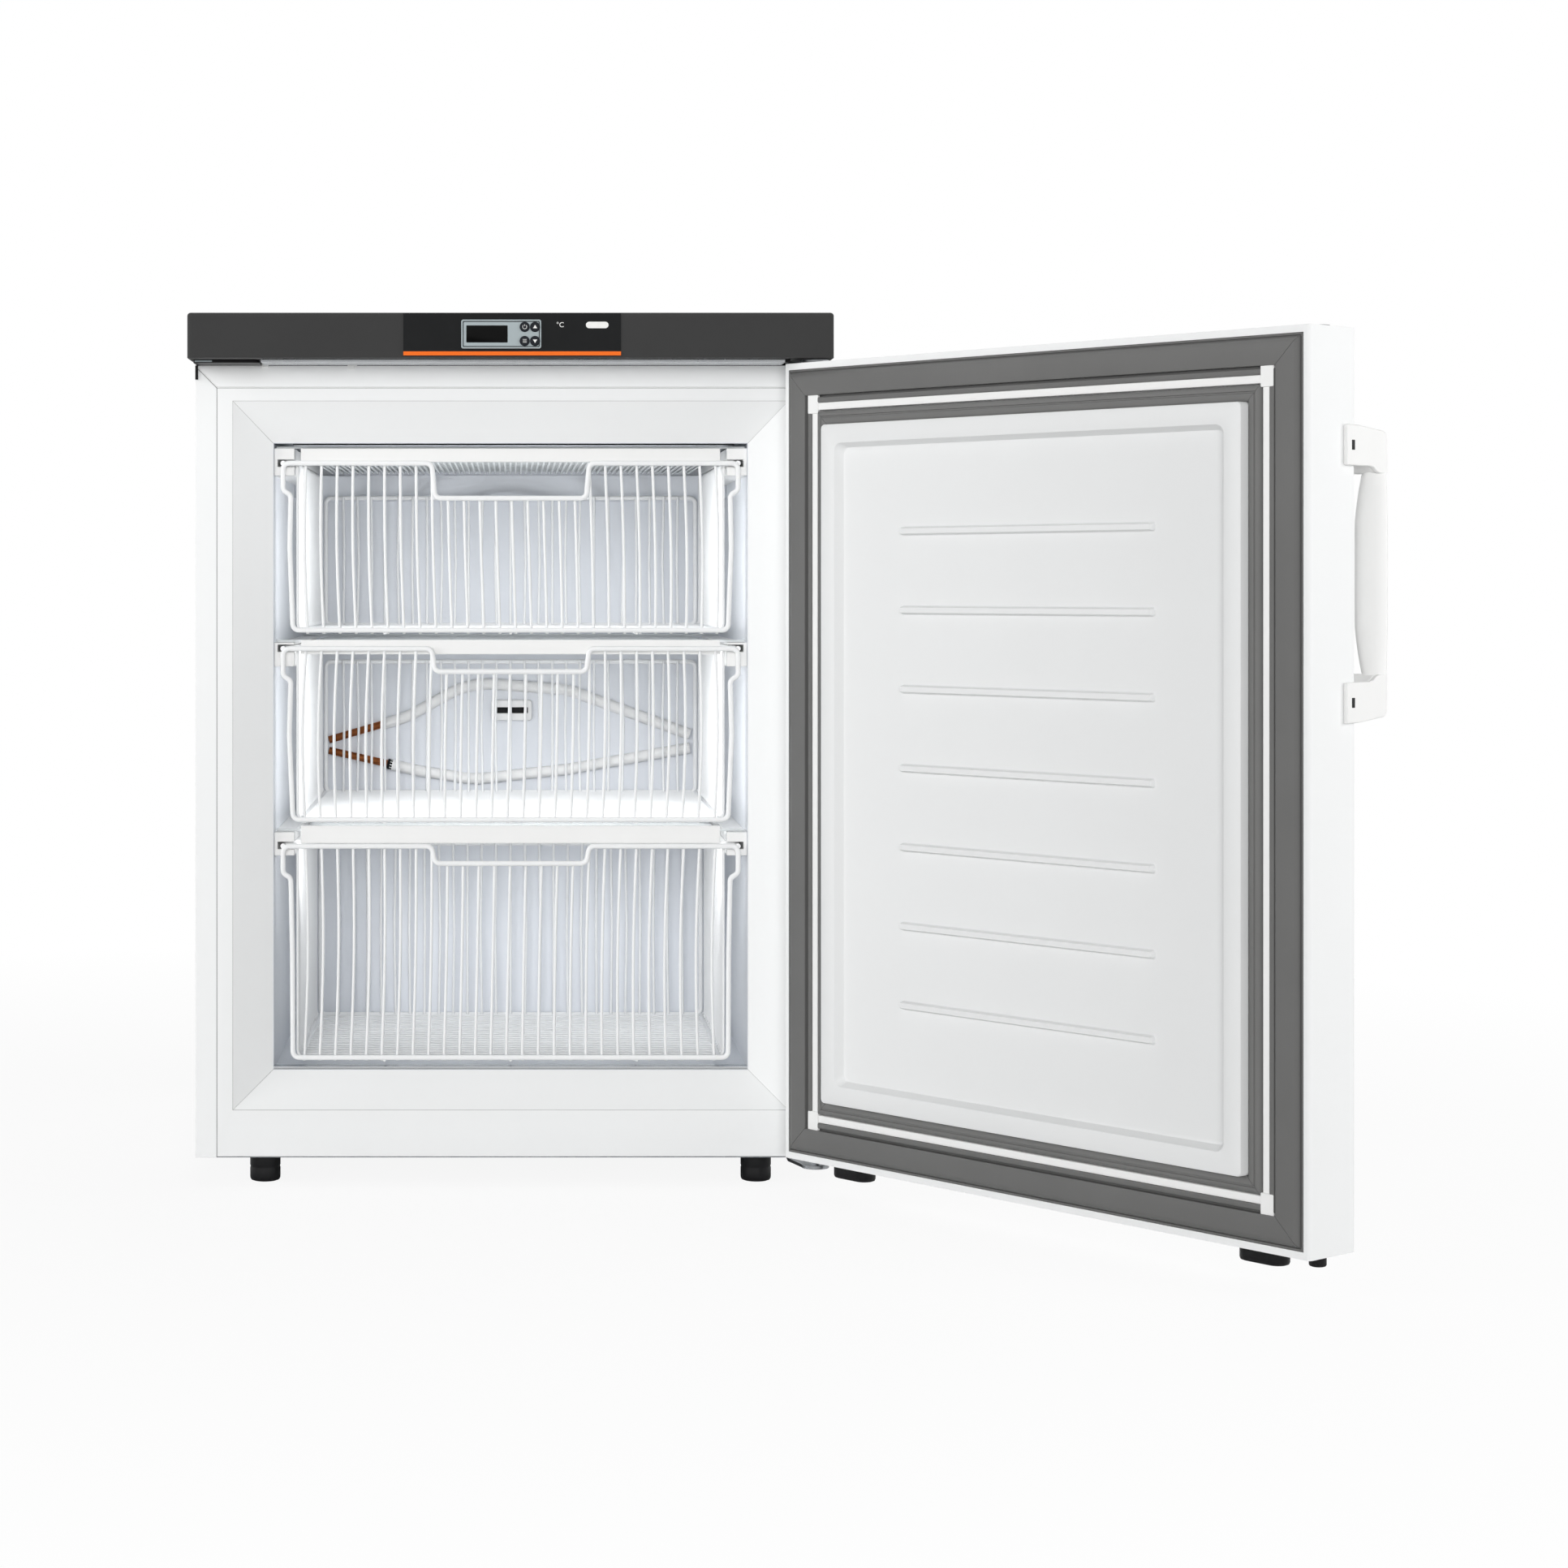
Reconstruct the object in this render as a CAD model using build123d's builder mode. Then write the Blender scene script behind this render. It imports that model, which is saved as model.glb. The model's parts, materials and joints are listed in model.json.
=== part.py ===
"""Under-counter laboratory freezer with its door open and three sliding wire baskets.

The origin is on the floor under the middle of the case. +Z is up, the front faces -Y and +X is to the
right, on the side of the door's hinges. Every length is in millimetres.
"""

import os
from collections import namedtuple
from math import cos, radians, sin

from build123d import *

os.makedirs("parts", exist_ok=True)

# Case: a folded steel shell on feet
case_width = 596.0
case_depth = 550.0
case_bottom = 26.0
case_height = 749.0
sheet = 1.0
flange = 20.3
rear_flange = 14.0
condenser_recess = 35.0

# Front frame around the opening
opening_width = 451.0
opening_bottom = 106.3
opening_height = 596.0
frame_depth = 20.0
bevel_side = 36.8
bevel_bottom = 35.3
bevel_top = 39.1

# Inner cabinet
liner_wall = 1.5
cavity_depth = 430.0
step_depth = 320.0
step_height = 223.7
cavity_corner = 12.0
bay_depth = 156.0
bay_height = 244.0
surround_half = 190.0
surround_thickness = 4.0
surround_height = 28.0
surround_drop = 44.0
sill_height = 3.0
sill_depth = 12.0
sill_round = 1.2

# Top cover and the control panel on its front
cover_width = 600.0
cover_overhang = 60.0
cover_gap = 3.0
cover_height = 42.0
cover_wall = 3.5
cover_seat = 53.0
cover_corner = 4.0
cover_round = 3.0
cover_rail_reach = 44.0
cover_rail_seat = 14.0
cover_rail_left_gap = 2.0
cover_rail_right_gap = 6.0
overlay_width = 201.6
overlay_height = 39.5
overlay_centre = 1.5
overlay_rise = 1.7
overlay_thickness = 0.8
stripe_height = 3.7
stripe_rise = 0.4
stripe_thickness = 0.3
bezel_width = 74.2
bezel_height = 26.9
bezel_centre_x = -8.6
bezel_rise = 21.8
bezel_thickness = 2.5
bezel_chamfer = 0.8
display_width = 38.3
display_height = 15.9
display_offset = -13.2
display_sunk = 0.5
button_radius = 4.2
button_gap = 0.3
button_pitch_x = 9.6
button_pitch_z = 13.0
button_offset = 21.7
button_proud = 0.9
button_travel = 0.8
button_chamfer = 0.5
housing_depth = 52.0
housing_half_width = 34.0
housing_half_height = 12.0
lamp_width = 20.9
lamp_height = 6.0
lamp_x = 80.3
lamp_rise = 30.3
lamp_thickness = 0.4

# Door
door_angle = 129.0
door_width = 596.0
door_bottom = 33.5
door_top_gap = 1.5
door_near = 4.0
door_far = 63.0
door_skin = 1.0
door_corner = 3.0
hinge_inset = 13.0
hinge_gap = 31.5
liner_seat = 10.0
liner_sheet = 2.0
edge_border = 6.0
gasket_width = 25.0
gasket_face = 0.3
gasket_lip_drop = 2.9
gasket_lip_width = 6.0
gasket_groove = 2.0
gasket_groove_depth = 6.0
rib_lip_width = 5.0
rib_lip_face = 2.0
retainer_width = 7.0
retainer_face = 3.0
inner_gasket_gap = 1.0
inner_gasket_width = 13.0
inner_gasket_face = 1.0
inner_gasket_round = 2.0
plateau_face = -7.0
plateau_border = 18.0
recess_depth = 9.0
recess_slope = 4.0
plateau_corner = 4.0
panel_corner = 8.0
rib_length = 289.0
rib_width = 7.0
rib_height = 6.0
rib_count = 7
rib_draft = 12.0
rib_margin = 80.9

# Hinges
pin_radius = 4.0
pin_gap = 0.06
hinge_plate = 3.0
hinge_plate_width = 36.0
hinge_nose = 13.0
lower_plate = 3.5
upper_plate_reach = 45.0
lower_plate_reach = 60.0
pin_engagement = 18.0
bush_radius = 7.0
bush_length = 24.0
collar_radius = 5.5
collar_gap = 0.3
bolt_head = 5.0
bolt_head_height = 3.0
bolt_spread = 9.0
bolt_margin = 12.5
cap_width = 62.0
cap_x = -266.0
cap_reach = 36.0
cap_seat = 30.0
cap_corner = 6.0

# Door stops and handle
stop_length = 45.0
stop_width = 22.0
stop_drop = 14.5
stop_inset = 65.0
web_length = 42.0
web_width = 8.0
web_drop = 3.5
boss_radius = 7.0
boss_drop = 9.5
plug_radius = 10.0
plug_proud = 1.0
handle_bottom = 456.7
handle_height = 239.0
handle_bracket = 33.0
handle_reach = 38.0
handle_width = 30.0
handle_lap = 16.0
handle_plate = 4.0
grip_thickness = 13.0
grip_bulge = 5.0
grip_round = 5.0
handle_round = 9.0
handle_screw = 3.0
handle_screw_proud = 0.6

# Feet
foot_radius = 14.5
foot_x = 234.0
front_foot_y = -246.0
rear_foot_y = 235.0
stem_radius = 4.0
stem_gap = 0.3
foot_gap = 0.2
stem_length = 11.0
foot_boss_radius = 8.0
foot_boss_height = 13.0

# Baskets, their rails and the evaporator shelves between them
rim_wire = 5.0
mesh_wire = 2.8
wire_pitch = 15.0
back_pitch = 30.0
side_pitch = 45.0
basket_front = -256.0
rim_half_width = 216.5
shoulder_drop = 26.0
shoulder_step = 7.5
side_half_width = 203.0
back_drop = 22.0
notch_half_width = 72.0
runners = 3
runner_pitch = 120.0
rail_inner = 206.0
rail_front = -250.0
rail_slot_x = 222.0
rail_end_gap = 2.0
slot_floor_gap = 0.3
slot_roof_gap = 1.5
shelf_half_width = 200.0
shelf_bar_gap = 0.5
trim_thickness = 6.0
shelf_tube = 8.0
shelf_wire = 2.4
shelf_passes = 5
shelf_wires = 6
shelf_wire_pitch = 64.0

# Heights in each compartment, and how far back its basket reaches
Compartment = namedtuple("Compartment", "rim floor notch back rail_low rail_high trim_low trim_high")
compartments = {
    "upper": Compartment(682.9, 524.5, 650.0, 150.0, 671.6, 697.7, 684.6, 697.7),
    "middle": Compartment(506.5, 344.3, 485.0, 150.0, 489.8, 512.5, 501.3, 515.1),
    "lower": Compartment(318.5, 118.0, 302.5, 50.0, 309.5, 331.8, 321.0, 337.9),
}

# Cooling circuit behind the step and on the back
compressor_x = 130.0
compressor_y = 198.0
compressor_radius = 68.0
compressor_height = 165.0
compressor_seam = 72.0
seam_height = 8.0
seam_proud = 4.0
compressor_plate = 2.5
pot_crown = 24.0
pot_shoulder = 14.0
plate_margin = 22.0
grommet_radius = 9.0
grommet_height = 14.0
grommet_pitch_x = 150.0
grommet_pitch_y = 90.0
deck_sheet = 2.0
relay_depth = 30.0
relay_gap = 0.2
relay_corner = 6.0
relay_height = 58.0
relay_width = 62.0
condenser_width = 460.0
condenser_bottom = 300.0
condenser_height = 420.0
condenser_passes = 8
condenser_wires = 10
condenser_tube = 5.0
condenser_wire = 2.0
condenser_standoff = 14.0
condenser_margin = 12.0
wire_margin = 30.0
strip_x = 214.0
strip_sheet = 2.0
drier_x = -120.0
drier_radius = 9.0
drier_length = 110.0
pipe_radius = 3.0
pipe_side = 22.0
pipe_bend = 9.0
pipe_rise = 40.0
inlet_x = -220.0
inlet_width = 30.0
inlet_height = 62.0
inlet_depth = 26.0
inlet_rise = 26.0
inlet_mouth_width = 32.0
inlet_mouth_height = 26.0
inlet_mouth_depth = 18.0
inlet_mouth_wall = 4.0
inlet_corner = 3.0

# Copper link between two evaporators, in the middle compartment
link_radius = 4.0
sleeve_radius = 6.0
link_bend = 90.0
link_start = -196.7
link_end = 194.0
upper_joint = 57.1
lower_joint = 65.9
upper_link = ((link_start, 399.7), (-112.0, 424.5), (-45.0, 462.0), (62.3, 454.1), (link_end, 405.8))
lower_link = ((link_start, 388.3), (-100.0, 366.3), (-40.0, 357.0), (62.3, 368.0), (link_end, 391.0))
sensor_x = 1.0
sensor_z = 432.0
sensor_width = 44.0
sensor_height = 22.0
sensor_depth = 14.0
sensor_corner = 3.0
sensor_slot = 7.0

# Places that follow from the sizes above
case_half = case_width / 2
inner_half = case_half - sheet
case_top = case_bottom + case_height
front_y = -case_depth / 2
rear_y = case_depth / 2
opening_half = opening_width / 2
opening_top = opening_bottom + opening_height
frame_back = front_y + frame_depth
frame_half = case_half - flange
frame_top = case_top - flange
frame_bottom = case_bottom + sheet
bevel_half = opening_half + bevel_side
bevel_low = opening_bottom - bevel_bottom
bevel_high = opening_top + bevel_top
cavity_back = frame_back + cavity_depth
step_back = frame_back + step_depth
step_top = opening_bottom + step_height
panel_y = rear_y - condenser_recess
bay_front = rear_y - bay_depth
bay_top = case_bottom + bay_height
cover_bottom = case_top + cover_gap
cover_top = cover_bottom + cover_height
bezel_centre_z = cover_bottom + bezel_rise
lamp_z = cover_bottom + lamp_rise
cover_front = front_y - cover_overhang
overlay_front = cover_front - overlay_thickness
overlay_bottom = cover_bottom + overlay_rise
hinge_x = case_half - hinge_inset
hinge_y = front_y - hinge_gap
rim_radius = rim_wire / 2
mesh_radius = mesh_wire / 2
mesh_y = basket_front + rim_radius + mesh_radius
front_plane = Plane.XZ.offset(-front_y)
mesh_offset = rim_radius + mesh_radius
side_frame_x = side_half_width - mesh_offset
lip_at = gasket_width + gasket_groove
retainer_at = lip_at + rib_lip_width
inner_seal_at = retainer_at + retainer_width + inner_gasket_gap
plateau_inset = edge_border + inner_seal_at + inner_gasket_width
plateau_width = door_width - 2 * plateau_inset
door_top = case_top - door_top_gap
door_height = door_top - door_bottom
plateau_height = door_height - 2 * plateau_inset
panel_width = plateau_width - 2 * plateau_border
panel_height = plateau_height - 2 * plateau_border
rib_pitch = (panel_height - 2 * rib_margin) / (rib_count - 1)
wire_span = condenser_width - 2 * wire_margin

# The door is drawn on its own planes, turned about the hinge to the open position
along_x = -cos(radians(door_angle))
along_y = -sin(radians(door_angle))
door_half = door_width / 2
door_middle_x = hinge_x + (door_half - hinge_inset) * along_x
door_middle_y = hinge_y + (door_half - hinge_inset) * along_y
door_plan = Plane(
    origin=(door_middle_x, door_middle_y, 0), x_dir=(along_x, along_y, 0), z_dir=(0, 0, 1)
)
door_elevation = Plane(
    origin=(door_middle_x, door_middle_y, 0), x_dir=(along_x, along_y, 0), z_dir=(along_y, -along_x, 0)
)
door_middle_z = door_bottom + door_height / 2
pin_at = -door_half + hinge_inset
door_side = Plane(
    origin=(door_middle_x + door_half * along_x, door_middle_y + door_half * along_y, 0),
    x_dir=(-along_y, along_x, 0),
    z_dir=(along_x, along_y, 0),
)
door_axis_out = Axis((0, 0, 0), (-along_y, along_x, 0))
door_axis_along = Axis((0, 0, 0), (along_x, along_y, 0))


def door_face(gap):
    """Plane parallel to the door, at this distance in front of the case when the door is shut."""
    return door_elevation.offset(hinge_gap - gap)


def block(x, y, z, mode=Mode.ADD):
    """Box between three pairs of limits."""
    with Locations(((x[0] + x[1]) / 2, (y[0] + y[1]) / 2, (z[0] + z[1]) / 2)):
        Box(x[1] - x[0], y[1] - y[0], z[1] - z[0], mode=mode)


def door_slab(inset, near, far, mode=Mode.ADD):
    """Slab of the door between two distances, smaller than the door by an inset on every side."""
    with BuildSketch(door_face(far)) as outline:
        with Locations((0, door_middle_z)):
            Rectangle(door_width - 2 * inset, door_height - 2 * inset)
    extrude(outline.sketch, amount=far - near, mode=mode)


def door_ring(outer_inset, inner_inset, near, far, mode=Mode.ADD):
    """Rectangular ring of the door between two distances."""
    with BuildSketch(door_face(far)) as outline:
        with Locations((0, door_middle_z)):
            Rectangle(door_width - 2 * outer_inset, door_height - 2 * outer_inset)
            Rectangle(door_width - 2 * inner_inset, door_height - 2 * inner_inset, mode=Mode.SUBTRACT)
    extrude(outline.sketch, amount=far - near, mode=mode)


def seal_bars(*profile):
    """Four bars round the door, from a profile of (distance from the seal's edge, gap) points."""
    face = door_face(0)
    half_x, half_z = door_half - edge_border, door_height / 2 - edge_border
    corners = [
        face.from_local_coords((hand_x * half_x, door_middle_z + hand_z * half_z, 0))
        for hand_x, hand_z in ((-1, -1), (1, -1), (1, 1), (-1, 1))
    ]
    bars = []
    for first, second in zip(corners, corners[1:] + corners[:1]):
        along = (second - first).normalized()
        inward = face.z_dir.cross(along)
        with BuildPart() as seal_bar:
            with BuildSketch(Plane(origin=(first + second) / 2, x_dir=inward, z_dir=along)):
                with BuildLine():
                    Polyline(*((depth, -gap) for depth, gap in profile), close=True)
                make_face()
            extrude(amount=(second - first).length / 2, both=True)
            split(bisect_by=Plane(origin=first, x_dir=face.z_dir, z_dir=along - inward))
            split(bisect_by=Plane(origin=second, x_dir=face.z_dir, z_dir=-along - inward))
        bars.append(seal_bar.part.solid())
    return bars


def serpentine(reach, pitch, passes, place):
    """Points of a tube that runs to and fro, each turn cut across a third of the pitch.

    place turns a pair (across, along) into a point.
    """
    cut = pitch / 3
    points = [place(-reach, 0)]
    for i in range(passes - 1):
        hand = 1 if i % 2 == 0 else -1
        points.append(place(hand * (reach - cut), i * pitch))
        points.append(place(hand * reach, i * pitch + cut))
        points.append(place(hand * reach, (i + 1) * pitch - cut))
        points.append(place(hand * (reach - cut), (i + 1) * pitch))
    points.append(place((1 if passes % 2 else -1) * reach, (passes - 1) * pitch))
    return points


def hinge_outline(reach):
    """Outline of a hinge plate: square on the case, with a round nose about the pin."""
    inner = hinge_x - hinge_plate_width + hinge_nose
    outer = hinge_x + hinge_nose
    with BuildLine() as outline:
        Polyline((hinge_x - hinge_nose, hinge_y), (inner, front_y), (inner, front_y + reach))
        Polyline((inner, front_y + reach), (outer, front_y + reach), (outer, hinge_y))
        ThreePointArc((outer, hinge_y), (hinge_x, hinge_y - hinge_nose), (hinge_x - hinge_nose, hinge_y))
    make_face(outline.edges())
    with Locations((hinge_x, hinge_y)):
        Circle(pin_radius, mode=Mode.SUBTRACT)


def bolt_places(reach):
    """Two bolts across a hinge plate, near its back edge."""
    middle = hinge_x + hinge_nose - hinge_plate_width / 2
    row = front_y + reach - bolt_margin
    return [(middle - bolt_spread, row), (middle + bolt_spread, row)]


def cavity_form(grow):
    """Solid of the stepped cavity, larger than the air space by one wall on its closed sides."""
    with BuildPart() as form:
        with BuildSketch(Plane.YZ):
            with BuildLine():
                Polyline(
                    (frame_back, opening_bottom - grow),
                    (frame_back, opening_top + grow),
                    (cavity_back + grow, opening_top + grow),
                    (cavity_back + grow, step_top - grow),
                    (step_back + grow, step_top - grow),
                    (step_back + grow, opening_bottom - grow),
                    close=True,
                )
            make_face()
        extrude(amount=opening_half + grow, both=True)
        upright = form.edges().filter_by(Axis.Z).filter_by_position(Axis.Y, frame_back + 1, rear_y)
        fillet(upright, cavity_corner + grow)
    return form.part


# Steel sides, each with a flange folded round to the front and the back
for hand, name in ((-1, "side_panel_left"), (1, "side_panel_right")):
    with BuildPart() as side_panel:
        with BuildSketch(Plane.XY.offset(case_bottom)):
            with BuildLine():
                Polyline(
                    (hand * case_half, front_y),
                    (hand * frame_half, front_y),
                    (hand * frame_half, front_y + sheet),
                    (hand * inner_half, front_y + sheet),
                    (hand * inner_half, rear_y - sheet),
                    (hand * (case_half - rear_flange), rear_y - sheet),
                    (hand * (case_half - rear_flange), rear_y),
                    (hand * case_half, rear_y),
                    close=True,
                )
            make_face()
        extrude(amount=case_height)
        with BuildSketch(front_plane):
            with BuildLine():
                Polyline(
                    (hand * inner_half, case_top),
                    (hand * frame_half, case_top),
                    (hand * frame_half, frame_top),
                    (hand * inner_half, case_top - sheet),
                    close=True,
                )
            make_face()
        extrude(amount=-sheet, mode=Mode.SUBTRACT)
    side_panel.part.label = name
    export_step(side_panel.part, f"parts/{name}.step")

# Steel top with a mitred front flange
with BuildPart() as top_panel:
    block((-inner_half, inner_half), (front_y, rear_y - sheet), (case_top - sheet, case_top))
    with BuildSketch(front_plane):
        with BuildLine():
            Polyline(
                (-inner_half, case_top - sheet),
                (-frame_half, frame_top),
                (frame_half, frame_top),
                (inner_half, case_top - sheet),
                close=True,
            )
        make_face()
    extrude(amount=-sheet)
top_panel.part.label = "top_panel"
export_step(top_panel.part, "parts/top_panel.step")

# Steel floor with a welded nut boss over each front foot
with BuildPart() as base_pan:
    block(
        (-inner_half, inner_half),
        (front_y + sheet, bay_front - sheet),
        (case_bottom, case_bottom + sheet),
    )
    with Locations(Plane.XY.offset(case_bottom + sheet)):
        with Locations((-foot_x, front_foot_y), (foot_x, front_foot_y)):
            Cylinder(
                foot_boss_radius,
                foot_boss_height,
                align=(Align.CENTER, Align.CENTER, Align.MIN),
            )
            Hole(stem_radius + stem_gap)
base_pan.part.label = "base_pan"
export_step(base_pan.part, "parts/base_pan.step")

# Steel back, set in so that the condenser lies within the sides
with BuildPart() as rear_panel:
    block((-inner_half, inner_half), (panel_y - sheet, panel_y), (bay_top + sheet, case_top - sheet))
rear_panel.part.label = "rear_panel"
export_step(rear_panel.part, "parts/rear_panel.step")

# Folded sheet that closes the foam over the compressor bay
with BuildPart() as bay_panel:
    block((-inner_half, inner_half), (bay_front - sheet, bay_front), (case_bottom, bay_top))
    block((-inner_half, inner_half), (bay_front - sheet, panel_y), (bay_top, bay_top + sheet))
bay_panel.part.label = "bay_panel"
export_step(bay_panel.part, "parts/bay_panel.step")

# Deck under the compressor, with a stiffening lip at the back
with BuildPart() as compressor_deck:
    block(
        (-inner_half, inner_half),
        (bay_front, rear_y - sheet),
        (case_bottom, case_bottom + deck_sheet),
    )
    block(
        (-case_half + rear_flange, case_half - rear_flange),
        (rear_y - sheet - deck_sheet, rear_y - sheet),
        (case_bottom, case_bottom + grommet_height),
    )
compressor_deck.part.label = "compressor_deck"
export_step(compressor_deck.part, "parts/compressor_deck.step")

# Foam between the steel case and the liner
with BuildPart() as insulation_foam:
    block(
        (-inner_half, inner_half),
        (front_y + sheet, panel_y - sheet),
        (case_bottom + sheet, case_top - sheet),
    )
    block((-frame_half, frame_half), (front_y, frame_back), (case_bottom, frame_top), Mode.SUBTRACT)
    block(
        (-case_half, case_half),
        (bay_front - sheet, rear_y),
        (case_bottom, bay_top + sheet),
        Mode.SUBTRACT,
    )
    add(cavity_form(liner_wall), mode=Mode.SUBTRACT)
    with Locations(Plane.XY.offset(case_bottom)):
        with Locations((-foot_x, front_foot_y), (foot_x, front_foot_y)):
            Cylinder(
                foot_boss_radius,
                foot_boss_height + sheet + stem_gap,
                align=(Align.CENTER, Align.CENTER, Align.MIN),
                mode=Mode.SUBTRACT,
            )
insulation_foam.part.label = "insulation_foam"
export_step(insulation_foam.part, "parts/insulation_foam.step")

# Moulded liner with a raised band round the back of the ceiling
band_top = opening_top - surround_drop + surround_height
with BuildPart() as inner_liner:
    add(cavity_form(liner_wall))
    add(cavity_form(0), mode=Mode.SUBTRACT)
    block(
        (-surround_half, surround_half),
        (cavity_back - surround_thickness, cavity_back),
        (opening_top - surround_drop, band_top),
    )
inner_liner.part.label = "inner_liner"
export_step(inner_liner.part, "parts/inner_liner.step")

# Four bevelled bars, mitred at the corners of the opening
left_bar = (
    (-frame_half, frame_bottom),
    (-bevel_half, frame_bottom),
    (-bevel_half, bevel_low),
    (-opening_half, opening_bottom),
    (-opening_half, opening_top),
    (-bevel_half, bevel_high),
    (-frame_half, frame_top),
)
bottom_bar = (
    (-bevel_half, frame_bottom),
    (bevel_half, frame_bottom),
    (bevel_half, bevel_low),
    (opening_half, opening_bottom),
    (-opening_half, opening_bottom),
    (-bevel_half, bevel_low),
)
top_bar = (
    (-frame_half, frame_top),
    (-bevel_half, bevel_high),
    (-opening_half, opening_top),
    (opening_half, opening_top),
    (bevel_half, bevel_high),
    (frame_half, frame_top),
)
right_bar = tuple((-x, z) for x, z in left_bar)
with BuildPart() as bevelled_opening:
    with BuildSketch(front_plane):
        with BuildLine():
            Polyline(
                (-bevel_half, bevel_low),
                (bevel_half, bevel_low),
                (bevel_half, bevel_high),
                (-bevel_half, bevel_high),
                close=True,
            )
        make_face()
    with BuildSketch(front_plane.offset(-frame_depth)):
        with BuildLine():
            Polyline(
                (-opening_half, opening_bottom),
                (opening_half, opening_bottom),
                (opening_half, opening_top),
                (-opening_half, opening_top),
                close=True,
            )
        make_face()
    loft(ruled=True)
bars = []
for outline in (left_bar, bottom_bar, top_bar, right_bar):
    with BuildPart() as bar:
        with BuildSketch(front_plane):
            with BuildLine():
                Polyline(*outline, close=True)
            make_face()
        extrude(amount=-frame_depth)
        add(bevelled_opening.part, mode=Mode.SUBTRACT)
    bars.append(bar.part.solid())
front_frame = Compound(label="front_frame", children=bars)
export_step(front_frame, "parts/front_frame.step")

# Bright strip on the front edge of the liner's floor
with BuildPart() as sill_strip:
    block(
        (-opening_half, opening_half),
        (frame_back, frame_back + sill_depth),
        (opening_bottom, opening_bottom + sill_height),
    )
    fillet(sill_strip.edges().filter_by(Axis.X).group_by(Axis.Z)[-1].sort_by(Axis.Y)[0], sill_round)
sill_strip.part.label = "sill_strip"
export_step(sill_strip.part, "parts/sill_strip.step")

# Dark top cover, raised over the hinge plates along its front
with BuildPart() as top_cover:
    with BuildSketch(Plane.YZ):
        with BuildLine():
            Polyline(
                (cover_front, cover_bottom),
                (cover_front, cover_top),
                (rear_y, cover_top),
                (rear_y, case_top),
                (front_y + cover_seat, case_top),
                (front_y + cover_seat, cover_bottom),
                close=True,
            )
        make_face()
    extrude(amount=cover_width / 2, both=True)
    fillet(top_cover.edges().filter_by(Axis.Z).group_by(Axis.Y)[0], cover_corner)
    fillet(top_cover.faces().sort_by(Axis.Z)[-1].edges(), cover_round)
    inside = cover_width / 2 - cover_wall
    block(
        (-inside, inside),
        (front_y, rear_y - cover_wall),
        (case_top, cover_top - cover_wall),
        Mode.SUBTRACT,
    )
    block(
        (-inside, inside),
        (cover_front + cover_wall, front_y),
        (cover_bottom + cover_wall, cover_top - cover_wall),
        Mode.SUBTRACT,
    )
    block(
        (bezel_centre_x - housing_half_width, bezel_centre_x + housing_half_width),
        (cover_front, cover_front + cover_wall),
        (bezel_centre_z - housing_half_height, bezel_centre_z + housing_half_height),
        Mode.SUBTRACT,
    )
top_cover.part.label = "top_cover"
export_step(top_cover.part, "parts/top_cover.step")

# Aluminium rail between the case and the cover, shown along the front
rail_left = cap_x + cap_width / 2 + cover_rail_left_gap
rail_right = hinge_x + hinge_nose - hinge_plate_width - cover_rail_right_gap
with BuildPart() as cover_rail:
    block(
        (rail_left, rail_right),
        (front_y - cover_rail_reach, front_y + cover_rail_seat),
        (case_top, cover_bottom),
    )
cover_rail.part.label = "cover_rail"
export_step(cover_rail.part, "parts/cover_rail.step")

# Dark film over the controls, open for the controller
with BuildPart() as control_overlay:
    with BuildSketch(Plane.XZ.offset(-cover_front)):
        with Locations((overlay_centre, overlay_bottom + overlay_height / 2)):
            Rectangle(overlay_width, overlay_height)
        with Locations((bezel_centre_x, bezel_centre_z)):
            Rectangle(2 * housing_half_width, 2 * housing_half_height, mode=Mode.SUBTRACT)
    extrude(amount=overlay_thickness)
control_overlay.part.label = "control_overlay"
export_step(control_overlay.part, "parts/control_overlay.step")

# Coloured stripe along the bottom of the film
with BuildPart() as accent_stripe:
    with BuildSketch(Plane.XZ.offset(-overlay_front)):
        with Locations((overlay_centre, overlay_bottom + stripe_rise + stripe_height / 2)):
            Rectangle(overlay_width, stripe_height)
    extrude(amount=stripe_thickness)
accent_stripe.part.label = "accent_stripe"
export_step(accent_stripe.part, "parts/accent_stripe.step")

# Controller: a bezel with a display window and four keys, on a housing that passes into the cover
key_places = {
    "key_set": (button_offset, -button_pitch_z / 2),
    "key_power": (button_offset, button_pitch_z / 2),
    "key_up": (button_offset + button_pitch_x, button_pitch_z / 2),
    "key_down": (button_offset + button_pitch_x, -button_pitch_z / 2),
}
bezel_plane = Plane(
    origin=(bezel_centre_x, overlay_front, bezel_centre_z), x_dir=(1, 0, 0), z_dir=(0, -1, 0)
)
with BuildPart() as controller_bezel:
    with BuildSketch(bezel_plane):
        Rectangle(bezel_width, bezel_height)
        with Locations((display_offset, 0)):
            Rectangle(display_width, display_height, mode=Mode.SUBTRACT)
        with Locations(*key_places.values()):
            Circle(button_radius + button_gap, mode=Mode.SUBTRACT)
    extrude(amount=bezel_thickness)
    chamfer(controller_bezel.faces().sort_by(Axis.Y)[0].outer_wire().edges(), bezel_chamfer)
controller_bezel.part.label = "controller_bezel"
export_step(controller_bezel.part, "parts/controller_bezel.step")

with BuildPart() as controller_housing:
    with BuildSketch(bezel_plane):
        Rectangle(2 * housing_half_width, 2 * housing_half_height)
    extrude(amount=-housing_depth)
controller_housing.part.label = "controller_housing"
export_step(controller_housing.part, "parts/controller_housing.step")

with BuildPart() as display_window:
    with BuildSketch(bezel_plane):
        with Locations((display_offset, 0)):
            Rectangle(display_width, display_height)
    extrude(amount=bezel_thickness - display_sunk)
display_window.part.label = "display_window"
export_step(display_window.part, "parts/display_window.step")

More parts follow.
